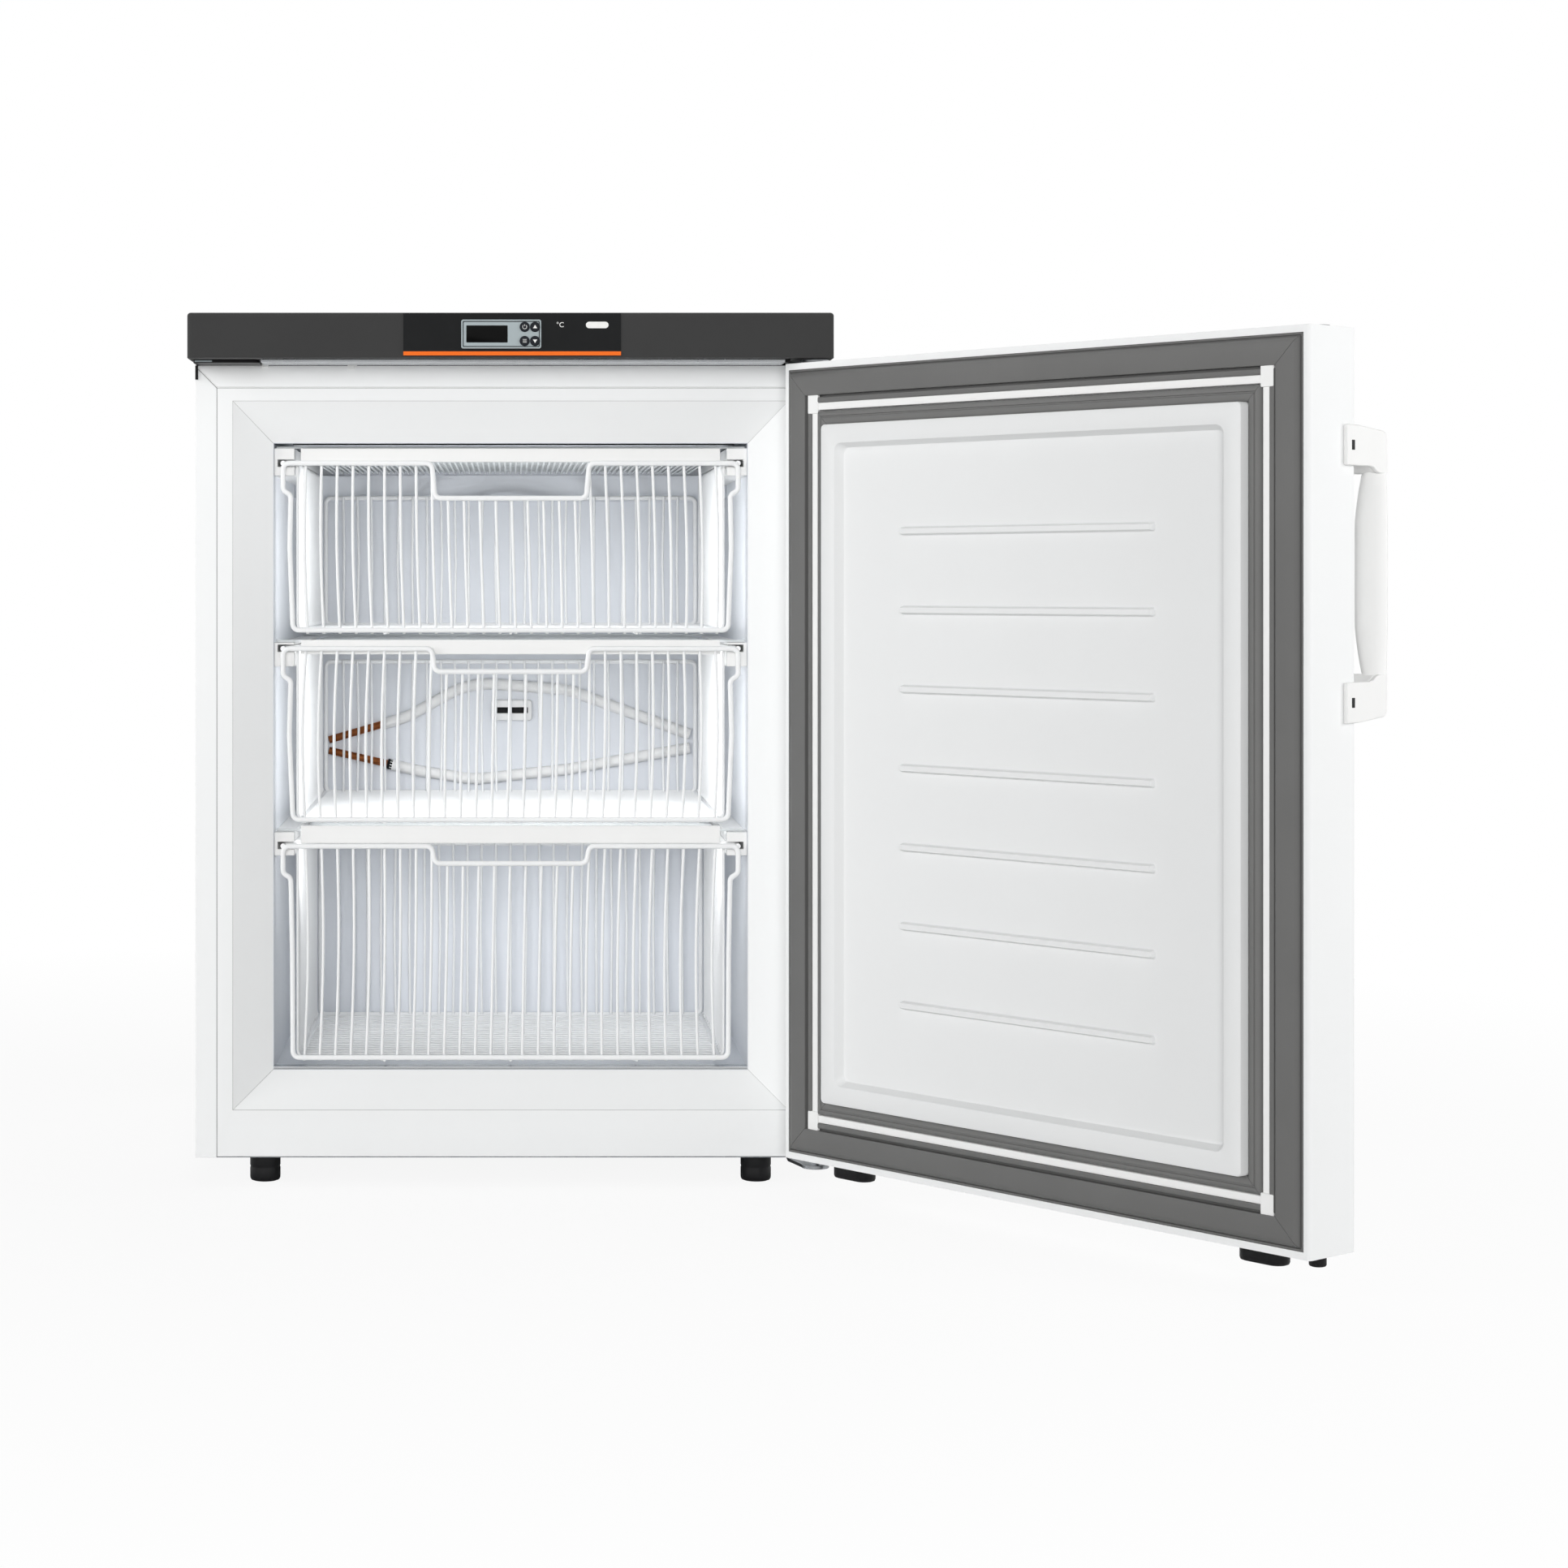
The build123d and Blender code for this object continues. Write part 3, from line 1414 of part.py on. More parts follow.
# Condenser: a serpentine tube with upright wires, held off the back by two side strips
condenser_y = panel_y + condenser_standoff
reach = condenser_width / 2
pass_pitch = condenser_height / (condenser_passes - 1)
route = serpentine(
    reach, pass_pitch, condenser_passes, lambda x, z: (-x, condenser_y, condenser_bottom + z)
)
with BuildPart() as condenser_pipe:
    with BuildLine():
        Polyline(*route)
    with BuildSketch(Plane(origin=route[0], x_dir=(0, 1, 0), z_dir=(-1, 0, 0))):
        RegularPolygon(condenser_tube / 2, 6, major_radius=False, rotation=30)
    sweep(transition=Transition.RIGHT)
with BuildPart() as condenser_rods:
    with BuildSketch(Plane.XY.offset(condenser_bottom - condenser_margin)):
        with Locations((0, condenser_y + condenser_tube / 2 + condenser_wire / 2)):
            with GridLocations(wire_span / (condenser_wires - 1), 1, condenser_wires, 1):
                Rectangle(condenser_wire, condenser_wire)
    extrude(amount=condenser_height + 2 * condenser_margin)
with BuildPart() as condenser_strips:
    for hand in (-1, 1):
        block(
            (hand * strip_x - strip_sheet / 2, hand * strip_x + strip_sheet / 2),
            (panel_y, condenser_y - condenser_tube / 2),
            (condenser_bottom - condenser_margin, condenser_bottom + condenser_height + condenser_margin),
        )
welded = condenser_pipe.part.solids() + condenser_rods.part.solids() + condenser_strips.part.solids()
condenser = Compound(label="condenser", children=welded)
export_step(condenser, "parts/condenser.step")


def pipe(*points):
    """Copper pipe through a list of points, with the same bend at each."""
    with BuildLine() as path:
        FilletPolyline(*points, radius=pipe_bend)
    start, after = Vector(*points[0]), Vector(*points[1])
    with BuildSketch(Plane(origin=start, z_dir=after - start)) as section:
        RegularPolygon(pipe_radius, 6)
    sweep(section.sketch, path=path.wires()[0])


# Pipes between compressor, condenser, drier and the evaporators' entry at the bay's top
riser = reach + pipe_side
drier_z = bay_top - 2 * drier_radius
with BuildPart() as discharge_pipe:
    pipe(
        (compressor_x + compressor_radius, compressor_y, pot_bottom + pipe_rise),
        (riser, compressor_y, pot_bottom + pipe_rise),
        (riser, condenser_y, pot_bottom + pipe_rise),
        (riser, condenser_y, condenser_bottom),
        (reach, condenser_y, condenser_bottom),
    )
with BuildPart() as liquid_pipe:
    last = condenser_bottom + condenser_height
    side = -1 if condenser_passes % 2 else 1
    pipe(
        (side * reach, condenser_y, last),
        (side * riser, condenser_y, last),
        (side * riser, condenser_y, drier_z),
        (drier_x - drier_length / 2, condenser_y, drier_z),
    )
with BuildPart() as filter_drier:
    with Locations((drier_x, condenser_y, drier_z)):
        Cylinder(drier_radius, drier_length, rotation=(0, 90, 0))
with BuildPart() as return_pipe:
    pipe(
        (compressor_x, compressor_y, pot_top),
        (compressor_x, compressor_y, drier_z),
        (compressor_x, bay_front, drier_z),
    )
cooling_pipes = Compound(
    label="cooling_pipes",
    children=[
        discharge_pipe.part.solid(),
        liquid_pipe.part.solid(),
        filter_drier.part.solid(),
        return_pipe.part.solid(),
    ],
)
export_step(cooling_pipes, "parts/cooling_pipes.step")

# Mains inlet on its own upstand at the back of the deck
with BuildPart() as mains_inlet:
    inlet_face = rear_y - 2 * sheet - deck_sheet
    block(
        (inlet_x - inlet_width, inlet_x + inlet_width),
        (inlet_face - inlet_depth, inlet_face),
        (case_bottom + deck_sheet, case_bottom + deck_sheet + inlet_height),
    )
    with BuildSketch(Plane.XZ.offset(-inlet_face)):
        with Locations((inlet_x, case_bottom + grommet_height + inlet_rise)):
            RectangleRounded(inlet_mouth_width, inlet_mouth_height, inlet_corner)
            Rectangle(
                inlet_mouth_width - 2 * inlet_mouth_wall,
                inlet_mouth_height - 2 * inlet_mouth_wall,
                mode=Mode.SUBTRACT,
            )
    extrude(amount=-inlet_mouth_depth, mode=Mode.SUBTRACT)
mains_inlet.part.label = "mains_inlet"
export_step(mains_inlet.part, "parts/mains_inlet.step")
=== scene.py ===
"""Under-counter laboratory freezer with its door open, dressed for the camera.

Sizes are in millimetres and become metres where a mesh or a curve is made. The origin is on the floor
under the case, the front faces -Y and +X is on the side of the door's hinges.
"""

import json
from math import atan2, cos, pi, radians, sin, tan

import bmesh
import bpy
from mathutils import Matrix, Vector


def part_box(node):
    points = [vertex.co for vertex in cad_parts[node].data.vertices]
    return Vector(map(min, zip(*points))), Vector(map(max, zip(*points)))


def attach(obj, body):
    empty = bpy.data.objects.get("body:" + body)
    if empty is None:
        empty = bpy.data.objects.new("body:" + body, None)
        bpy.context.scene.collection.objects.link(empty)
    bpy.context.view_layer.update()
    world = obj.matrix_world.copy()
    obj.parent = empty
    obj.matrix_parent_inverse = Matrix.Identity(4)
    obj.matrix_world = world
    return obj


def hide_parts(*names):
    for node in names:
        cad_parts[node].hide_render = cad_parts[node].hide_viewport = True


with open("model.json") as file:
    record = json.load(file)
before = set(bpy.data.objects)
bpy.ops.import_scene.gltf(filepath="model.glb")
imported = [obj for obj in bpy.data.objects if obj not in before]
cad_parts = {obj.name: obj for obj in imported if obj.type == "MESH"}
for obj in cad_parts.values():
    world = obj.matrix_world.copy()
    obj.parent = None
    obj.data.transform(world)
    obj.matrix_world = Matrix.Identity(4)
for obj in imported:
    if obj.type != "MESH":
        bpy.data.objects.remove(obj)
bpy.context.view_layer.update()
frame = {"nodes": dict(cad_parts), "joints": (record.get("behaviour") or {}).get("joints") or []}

MM = 0.001
RIGHT, BACK, UP = Vector((1, 0, 0)), Vector((0, 1, 0)), Vector((0, 0, 1))

# Sizes shared by several pieces
CASE_FRONT = -275.0
RIM_WIRE, MESH_WIRE = 2.5, 1.4
WIRE_PITCH = 15.0
EVAPORATOR_PITCH = 5.6
SHARP_EDGE = radians(35)
MITRE_GAP = 0.2

# The door: its size, where it hangs, and the way it faces at rest
DOOR_WIDTH, DOOR_HEIGHT, DOOR_BOTTOM = 596.0, 740.0, 33.5
DOOR_HALF = DOOR_WIDTH / 2
DOOR_MIDDLE = DOOR_BOTTOM + DOOR_HEIGHT / 2
DOOR_FAR = 63.0
HINGE_INSET, HINGE_GAP = 13.0, 31.5
LINER_SEAT = 10.0
SEAL_EDGE = 6.0
hinge = next(j for j in frame["joints"] if j["name"] == "door_hinge")
open_angle = radians(-hinge["range_deg"][0])
ALONG = Vector((-cos(open_angle), -sin(open_angle), 0))
OUT = Vector((-ALONG.y, ALONG.x, 0))
HINGE = Vector(hinge["pos_m"]) / MM
DOOR_CENTRE = HINGE + ALONG * (DOOR_HALF - HINGE_INSET)


# ---- Colour and node helpers
def linear(code):
    """Linear colour of an sRGB hex value."""
    shares = [int(code[i : i + 2], 16) / 255 for i in (1, 3, 5)]
    return (*(c / 12.92 if c <= 0.04045 else ((c + 0.055) / 1.055) ** 2.4 for c in shares), 1)


def add(tree, kind, **values):
    """Adds a node. A value is a setting of the node, a socket's number or colour, or a socket to link from."""
    node = tree.nodes.new("ShaderNode" + kind)
    for name, value in values.items():
        sockets = {s.identifier: s for s in node.inputs}
        socket = sockets.get(name) or sockets.get(name.replace("_", " "))
        if socket is None:
            setattr(node, name, value)
        elif isinstance(value, bpy.types.NodeSocket):
            tree.links.new(value, socket)
        else:
            socket.default_value = value
    return node


def per_mm(size):
    """Texture scale, in metres, for a feature of this many millimetres."""
    return 1 / (size * MM)


def finish(name, colour, roughness, grain, depth, second=None, patch=60, **shader):
    """Material with a fine grain of a real size, a slow change between two shades, and its own gloss."""
    made = bpy.data.materials.new(name)
    made.use_nodes = True
    tree = made.node_tree
    tree.nodes.clear()
    place = add(tree, "TexCoord").outputs["Object"]
    cloud = add(tree, "TexNoise", Vector=place, Scale=per_mm(patch), Detail=3.0).outputs["Fac"]
    shade = add(
        tree, "Mix", data_type="RGBA", Factor_Float=cloud,
        A_Color=linear(colour), B_Color=linear(second or colour),
    ).outputs[2]
    fine = add(tree, "TexNoise", Vector=place, Scale=per_mm(grain), Detail=4.0).outputs["Fac"]
    gloss = add(tree, "MapRange", Value=cloud, To_Min=roughness * 0.9, To_Max=roughness * 1.15)
    relief = add(tree, "Bump", Height=fine, Strength=1.0, Distance=depth * MM).outputs["Normal"]
    surface = add(
        tree, "BsdfPrincipled", Base_Color=shade, Roughness=gloss.outputs["Result"], Normal=relief, **shader
    )
    add(tree, "OutputMaterial", Surface=surface.outputs["BSDF"])
    return made


# ---- Materials
# Powder coat on steel: satin white with a fine orange peel about 1.5 mm across
powder_coat = finish("powder_coat_white", "#F4F5F5", 0.42, 1.5, 0.012, "#F0F1F1", 180)
# Extruded PVC frame bars: a little smoother than the powder coat
pvc_frame = finish("extruded_pvc_white", "#F2F3F3", 0.36, 2.5, 0.006, "#EFF0F0", 120)
# Thermoformed polystyrene liner: cool grey with a soft sheen
liner_grey = finish("thermoformed_polystyrene_grey", "#EBEEF3", 0.38, 3.0, 0.02, "#E6EAF0", 90)
# The door's liner is the same sheet in white
liner_white = finish("thermoformed_polystyrene_white", "#E9EAEA", 0.4, 3.0, 0.015, "#E5E6E6", 160)
# Moulded ABS: handle, rails and trims
white_abs = finish("moulded_abs_white", "#F3F3F2", 0.33, 0.8, 0.006, "#EFEFEE", 50)
# Spark-eroded ABS cover: charcoal with a fine matt grain
charcoal_abs = finish(
    "textured_abs_charcoal", "#373737", 0.6, 0.5, 0.03, "#353535", 70, Specular_IOR_Level=0.3
)
# Printed polycarbonate film over the controls
black_film = finish(
    "polycarbonate_film_black", "#131415", 0.5, 0.35, 0.008, "#101112", 20, Specular_IOR_Level=0.25
)
orange_ink = finish("screen_ink_orange", "#F0701F", 0.42, 0.3, 0.004, "#EE6A1C", 12)
white_ink = finish("screen_ink_white", "#E8E8E6", 0.45, 0.3, 0.003, "#E2E2E0", 8)
# Satin painted ABS of the controller
silver_abs = finish("painted_abs_silver", "#A5AFB2", 0.42, 0.3, 0.008, "#9EA8AB", 15)
key_silicone = finish(
    "silicone_rubber_black", "#181B21", 0.5, 0.4, 0.01, "#14171C", 4, Specular_IOR_Level=0.3
)
smoked_acrylic = finish(
    "smoked_acrylic", "#020202", 0.3, 2.0, 0.001, "#030303", 20, Specular_IOR_Level=0.12
)
lamp_acrylic = finish("opal_acrylic", "#EDEDEA", 0.3, 1.0, 0.003, "#E4E4E1", 8)
# Nylon and polypropylene mouldings: stops, feet and caps
black_nylon = finish(
    "moulded_nylon_black", "#0E0E10", 0.4, 0.6, 0.02, "#0A0A0C", 20, Specular_IOR_Level=0.35
)
# The open joints between case, frame and mitred bars, where little light gets in, and paler grey strips of
# painted shade along the folds of the frame's bevelled bars
open_joint = finish("open_joint_grey", "#8C8C8B", 0.7, 1.0, 0.004, "#858584", 30)
fold_shade_and_mitre = finish("painted_fold_shade_and_mitre_grey", "#BDBDBC", 0.6, 1.0, 0.004, "#B7B7B6", 30)
# Magnetic door seal and its inner bellows, in plasticised PVC
seal_dark = finish("pvc_seal_dark_grey", "#6B6B6A", 0.46, 1.2, 0.015, "#646463", 60)
seal_grey = finish("pvc_seal_grey", "#737372", 0.46, 1.2, 0.015, "#6C6C6B", 60)
grommet_rubber = finish("natural_rubber_black", "#17171A", 0.7, 0.7, 0.03, "#101012", 12)
# Bright metals
zinc_plate = finish("zinc_plated_steel", "#C9CBCE", 0.28, 0.8, 0.01, "#B9BCC0", 9, Metallic=1.0)
bright_sill = finish("rolled_stainless_steel", "#D4D6D8", 0.24, 0.6, 0.006, "#C7CACD", 25, Metallic=1.0)
rail_metal = finish("anodised_aluminium", "#D3D5D8", 0.26, 0.5, 0.006, "#C6C9CD", 30, Metallic=1.0)
bush_brass = finish("turned_brass", "#C7A35A", 0.3, 0.4, 0.008, "#B8924B", 5, Metallic=1.0)
# Copper tube, dulled by handling in patches
copper_tube = finish("drawn_copper", "#C07848", 0.34, 0.7, 0.012, "#8C4C2A", 14, Metallic=1.0)
# White plastic on basket wire, and the coat on the evaporators
basket_coat = finish("polyethylene_coated_wire", "#F6F7F7", 0.32, 0.8, 0.008, "#F1F2F3", 30)
evaporator_coat = finish("phosphated_evaporator_white", "#E4E7E8", 0.42, 0.7, 0.015, "#DADEDF", 25)
# Enamel of the compressor and the condenser
black_enamel = finish("stoved_enamel_black", "#131315", 0.32, 1.4, 0.03, "#0D0D0F", 40)
# Polyurethane foam, only seen where nothing covers it
poured_foam = finish("polyurethane_foam", "#DCCB98", 0.85, 1.5, 0.3, "#CDB880", 12)


def spangled(name, light, dark, roughness, spangle):
    """Hot-dip galvanised sheet: zinc crystals about this wide, each with its own shade."""
    made = bpy.data.materials.new(name)
    made.use_nodes = True
    tree = made.node_tree
    tree.nodes.clear()
    place = add(tree, "TexCoord").outputs["Object"]
    crystal = add(tree, "TexVoronoi", Vector=place, Scale=per_mm(spangle)).outputs["Color"]
    tone = add(tree, "SeparateColor", Color=crystal).outputs["Red"]
    shade = add(
        tree, "Mix", data_type="RGBA", Factor_Float=tone, A_Color=linear(light), B_Color=linear(dark)
    ).outputs[2]
    gloss = add(tree, "MapRange", Value=tone, To_Min=roughness * 0.8, To_Max=roughness * 1.3)
    relief = add(tree, "Bump", Height=tone, Strength=0.4, Distance=0.02 * MM).outputs["Normal"]
    surface = add(
        tree, "BsdfPrincipled", Base_Color=shade, Roughness=gloss.outputs["Result"], Normal=relief,
        Metallic=1.0,
    )
    add(tree, "OutputMaterial", Surface=surface.outputs["BSDF"])
    return made


galvanised = spangled("galvanised_steel", "#B6BABD", "#9EA3A7", 0.36, 9)


def ribbed_back(made, pitch, depth):
    """Adds the soft upright ribs of the liner's back wall to its relief."""
    tree = made.node_tree
    surface = next(n for n in tree.nodes if n.type == "BSDF_PRINCIPLED")
    grain = next(n for n in tree.nodes if n.type == "BUMP")
    place = next(n for n in tree.nodes if n.type == "TEX_COORD").outputs["Object"]
    facing = add(tree, "SeparateXYZ", Vector=add(tree, "NewGeometry").outputs["Normal"]).outputs["Y"]
    on_back = add(tree, "Math", operation="LESS_THAN", Value=facing, Value_001=-0.8).outputs["Value"]
    wave = add(
        tree, "TexWave", Vector=place, Scale=per_mm(pitch) / 20, bands_direction="X", wave_profile="SIN"
    )
    height = add(tree, "Math", operation="MULTIPLY", Value=wave.outputs["Fac"], Value_001=on_back)
    ribs = add(
        tree, "Bump", Height=height.outputs["Value"], Normal=grain.outputs["Normal"], Distance=depth * MM
    )
    tree.links.new(ribs.outputs["Normal"], surface.inputs["Normal"])


ribbed_back(liner_grey, pitch=30, depth=0.6)


# ---- Mesh helpers
def link_piece(name, data, material, body, slot, *nodes):
    """Puts mesh or curve data in the scene as a piece that rides on a body and may stand for CAD nodes."""
    thing = bpy.data.objects.new(name, data)
    bpy.context.scene.collection.objects.link(thing)
    data.materials.append(material)
    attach(thing, body)
    if nodes:
        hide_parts(*nodes)
    return thing


def mesh_from(form, name):
    """Mesh of a bmesh, with smooth shading that stops at sharp edges."""
    bmesh.ops.recalc_face_normals(form, faces=form.faces)
    data = bpy.data.meshes.new(name)
    form.to_mesh(data)
    form.free()
    data.polygons.foreach_set("use_smooth", [True] * len(data.polygons))
    data.set_sharp_from_angle(angle=SHARP_EDGE)
    return data


def soft_edges(thing, width, segments=3):
    """Rounds every sharp edge of a piece."""
    bevel = thing.modifiers.new("rounded_edges", "BEVEL")
    bevel.width = width * MM
    bevel.segments = segments
    bevel.limit_method = "ANGLE"
    bevel.angle_limit = SHARP_EDGE
    bevel.harden_normals = True
    return thing


def seat(origin, right, up, out):
    """Turns a place (u, v, w) on a face into a point of the scene."""
    return lambda u, v, w=0.0: origin + right * u + up * v + out * w


def ring(width, height, corner, steps=5):
    """Rounded rectangle about the origin."""
    corner = max(min(corner, width / 2, height / 2), 0.01)
    points = []
    for quarter, (x, y) in enumerate(((1, 1), (-1, 1), (-1, -1), (1, -1))):
        for i in range(steps + 1):
            turn = (quarter + i / steps) * pi / 2
            points.append(
                (
                    x * (width / 2 - corner) + corner * cos(turn),
                    y * (height / 2 - corner) + corner * sin(turn),
                )
            )
    return points


def circle(radius, steps=40):
    """Circle about the origin."""
    return [(radius * cos(2 * pi * i / steps), radius * sin(2 * pi * i / steps)) for i in range(steps)]


def stacked(name, place, layers, material, body, slot, *nodes, caps=(True, True)):
    """Piece through a stack of outlines with the same number of points, each at its own height."""
    form = bmesh.new()
    levels = [[form.verts.new(place(u, v, w) * MM) for u, v in outline] for outline, w in layers]
    for low, high in zip(levels, levels[1:]):
        for i in range(len(low)):
            j = (i + 1) % len(low)
            form.faces.new((low[i], low[j], high[j], high[i]))
    if caps[0]:
        form.faces.new(levels[0][::-1])
    if caps[1]:
        form.faces.new(levels[-1])
    return link_piece(name, mesh_from(form, name), material, body, slot, *nodes)


def turned(name, centre, profile, material, body, slot, *nodes, axis=UP, steps=48):
    """Piece of revolution from (radius, height) points."""
    side = axis.orthogonal().normalized()
    place = seat(Vector(centre), side, axis.cross(side), axis)
    layers = [(circle(max(radius, 0.05), steps), height) for radius, height in profile]
    return stacked(name, place, layers, material, body, slot, *nodes)


def block(name, low, high, edge, material, body, slot, *nodes):
    """Rectangular piece between two corners, with rounded edges."""
    middle = (Vector(low) + Vector(high)) / 2
    size = Vector(high) - Vector(low)
    outline = [(-0.5, -0.5), (0.5, -0.5), (0.5, 0.5), (-0.5, 0.5)]
    outline = [(u * size.x, v * size.y) for u, v in outline]
    place = seat(middle, RIGHT, BACK, UP)
    layers = [(outline, -size.z / 2), (outline, size.z / 2)]
    return soft_edges(stacked(name, place, layers, material, body, slot, *nodes), edge)


def bent(points, radius, steps=5, closed=False):
    """The same route with its corners rounded to arcs."""
    points = [Vector(p) for p in points]
    route = []
    for i, corner in enumerate(points):
        if not closed and i in (0, len(points) - 1):
            route.append(corner)
            continue
        before = (points[i - 1] - corner).normalized()
        after = (points[(i + 1) % len(points)] - corner).normalized()
        half = before.angle(after) / 2
        if half > radians(88):
            route.append(corner)
            continue
        shortest = min((points[i - 1] - corner).length, (points[(i + 1) % len(points)] - corner).length)
        cut = min(radius / tan(half), shortest * 0.49)
        arc_radius = cut * tan(half)
        centre = corner + (before + after).normalized() * (arc_radius**2 + cut**2) ** 0.5
        start = corner + before * cut - centre
        end = corner + after * cut - centre
        for k in range(steps + 1):
            share = k / steps
            spread = start.angle(end)
            mix = (start * sin((1 - share) * spread) + end * sin(share * spread)) / sin(spread)
            route.append(centre + mix)
    return route


def wires(name, routes, radius, material, body, slot, *nodes, closed=False, sides=2):
    """Round wires or tubes along several routes, as one curve."""
    data = bpy.data.curves.new(name, "CURVE")
    data.dimensions = "3D"
    data.bevel_depth = radius * MM
    data.bevel_resolution = sides
    data.use_fill_caps = True
    for route in routes:
        line = data.splines.new("POLY")
        line.points.add(len(route) - 1)
        for point, at in zip(line.points, route):
            point.co = (*(Vector(at) * MM), 1)
        line.use_cyclic_u = closed
        line.use_smooth = True
    return link_piece(name, data, material, body, slot, *nodes)


def reach(node):
    """Lowest and highest corners of a CAD node, in millimetres."""
    low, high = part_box(node)
    return low / MM, high / MM


def dress(material, *nodes):
    """Gives CAD nodes that are shown as they are a material."""
    for node in nodes:
        data = frame["nodes"][node].data
        data.materials.clear()
        data.materials.append(material)


def rounded_copy(node, material, body, slot, width):
    """Stands for a CAD node with the same form and rounded edges."""
    form = bmesh.new()
    form.from_mesh(frame["nodes"][node].data)
    bmesh.ops.remove_doubles(form, verts=form.verts, dist=0.005 * MM)
    bmesh.ops.dissolve_limit(form, angle_limit=radians(2), verts=form.verts, edges=form.edges)
    name = node + "_finished"
    thing = link_piece(name, mesh_from(form, name), material, body, slot, node)
    return soft_edges(thing, width, 2)


# ---- Case, frame and liner
CABINET = "cabinet"
for node, material, slot, width in (
    ("side_panel_left", powder_coat, "painted_white_steel", 0.4),
    ("side_panel_right", powder_coat, "painted_white_steel", 0.4),
    ("top_panel", powder_coat, "painted_white_steel", 0.4),
    ("front_frame", pvc_frame, "frame_white", 0.6),
    ("shelf_trims", white_abs, "white_plastic", 0.9),
    ("basket_rails", white_abs, "white_plastic", 0.8),
    ("relay_box", black_nylon, "black_plastic", 1.2),
    ("hinge_cap", black_nylon, "black_plastic", 0.6),
    ("cover_rail", rail_metal, "aluminium", 0.4),
    ("upper_hinge_plate", zinc_plate, "zinc_steel", 0.5),
    ("lower_hinge_plate", zinc_plate, "zinc_steel", 0.5),
    ("hinge_bolts", zinc_plate, "zinc_steel", 0.4),
    ("mains_inlet", black_nylon, "black_plastic", 0.8),
):
    rounded_copy(node, material, CABINET, slot, width)

dress(galvanised, "base_pan", "rear_panel", "bay_panel", "compressor_deck")
dress(poured_foam, "insulation_foam", "door_foam")
dress(liner_grey, "inner_liner")
dress(bright_sill, "sill_strip")
dress(charcoal_abs, "top_cover")
dress(black_film, "control_overlay")
dress(orange_ink, "accent_stripe")
dress(black_nylon, "controller_housing")
dress(lamp_acrylic, "lamp_window")
dress(zinc_plate, "hinge_pins")
dress(powder_coat, "door_pan")
dress(bush_brass, "hinge_bushes")
dress(grommet_rubber, "compressor_grommets")


def cavity_band():
    """Raised band that runs round the top of the back wall and forward along both sides."""
    high = reach("inner_liner")[1]
    wall = 1.5
    half = high.x - wall
    back = high.y - wall
    thick, tall, bottom, forward, turn = 4.0, 28.0, 658.0, 130.0, 60.0
    inner = bent(
        [
            (-half + thick / 2, back - forward, bottom + 14),
            (-half + thick / 2, back - thick / 2, bottom + 14),
            (half - thick / 2, back - thick / 2, bottom + 14),
            (half - thick / 2, back - forward, bottom + 14),
        ],
        turn,
        steps=12,
    )
    form = bmesh.new()
    rows = []
    for i, point in enumerate(inner):
        ahead = inner[min(i + 1, len(inner) - 1)] - inner[max(i - 1, 0)]
        side = ahead.normalized().cross(UP) * thick / 2
        rows.append(
            [form.verts.new((point + side * s + UP * (tall / 2) * t) * MM) for s, t in
             ((-1, -1), (1, -1), (1, 1), (-1, 1))]
        )
    for low_row, high_row in zip(rows, rows[1:]):
        for i in range(4):
            j = (i + 1) % 4
            form.faces.new((low_row[i], low_row[j], high_row[j], high_row[i]))
    form.faces.new(rows[0][::-1])
    form.faces.new(rows[-1])
    band = link_piece("cavity_band", mesh_from(form, "cavity_band"), liner_grey, CABINET, "liner_grey")
    soft_edges(band, 1.2)


cavity_band()


# ---- Evaporator shelves: tube bent to and fro, with fine wires welded under it
def evaporator(node):
    low, high = reach(node)
    tube, passes = 4.0, 9
    centre_z = high.z - 2.4 - tube
    first, last = low.y + tube + 2, high.y - tube
    turn = (last - first) / (passes - 1)
    half = 196.0
    corners = []
    for i in range(passes):
        ends = (-half, half) if i % 2 == 0 else (half, -half)
        corners += [(x, first + i * turn, centre_z) for x in ends]
    wires(node + "_tube", [bent(corners, turn / 2 - 0.1, 6)], tube, evaporator_coat, CABINET,
          "evaporator_white", node, sides=3)
    count = int(2 * half / EVAPORATOR_PITCH)
    rows = []
    for i in range(count + 1):
        x = -half + 4 + i * (2 * half - 8) / count
        rows.append([(x, low.y + 1, centre_z - tube - 1.2), (x, high.y - 1, centre_z - tube - 1.2)])
    wires(node + "_wires", rows, 1.2, evaporator_coat, CABINET, "evaporator_white", sides=1)
    bars = [[(-224, y, high.z - 1.2), (224, y, high.z - 1.2)] for y in (first, last)]
    wires(node + "_bars", bars, 1.2, evaporator_coat, CABINET, "evaporator_white")


for node in ("evaporator_upper", "evaporator_middle", "evaporator_lower"):
    evaporator(node)


# ---- Baskets of coated wire
NOTCH_HALF = 72.0
SHOULDER_DROP, SHOULDER_STEP = 26.0, 7.5
RIM_HALF, SIDE_HALF = 216.5, 203.0
NOTCHES = {"upper": 650.0, "middle": 485.0, "lower": 302.5}
LEANS = {"upper": (5.0, 2.2), "middle": (-3.0, 3.0), "lower": (-4.0, -3.0)}


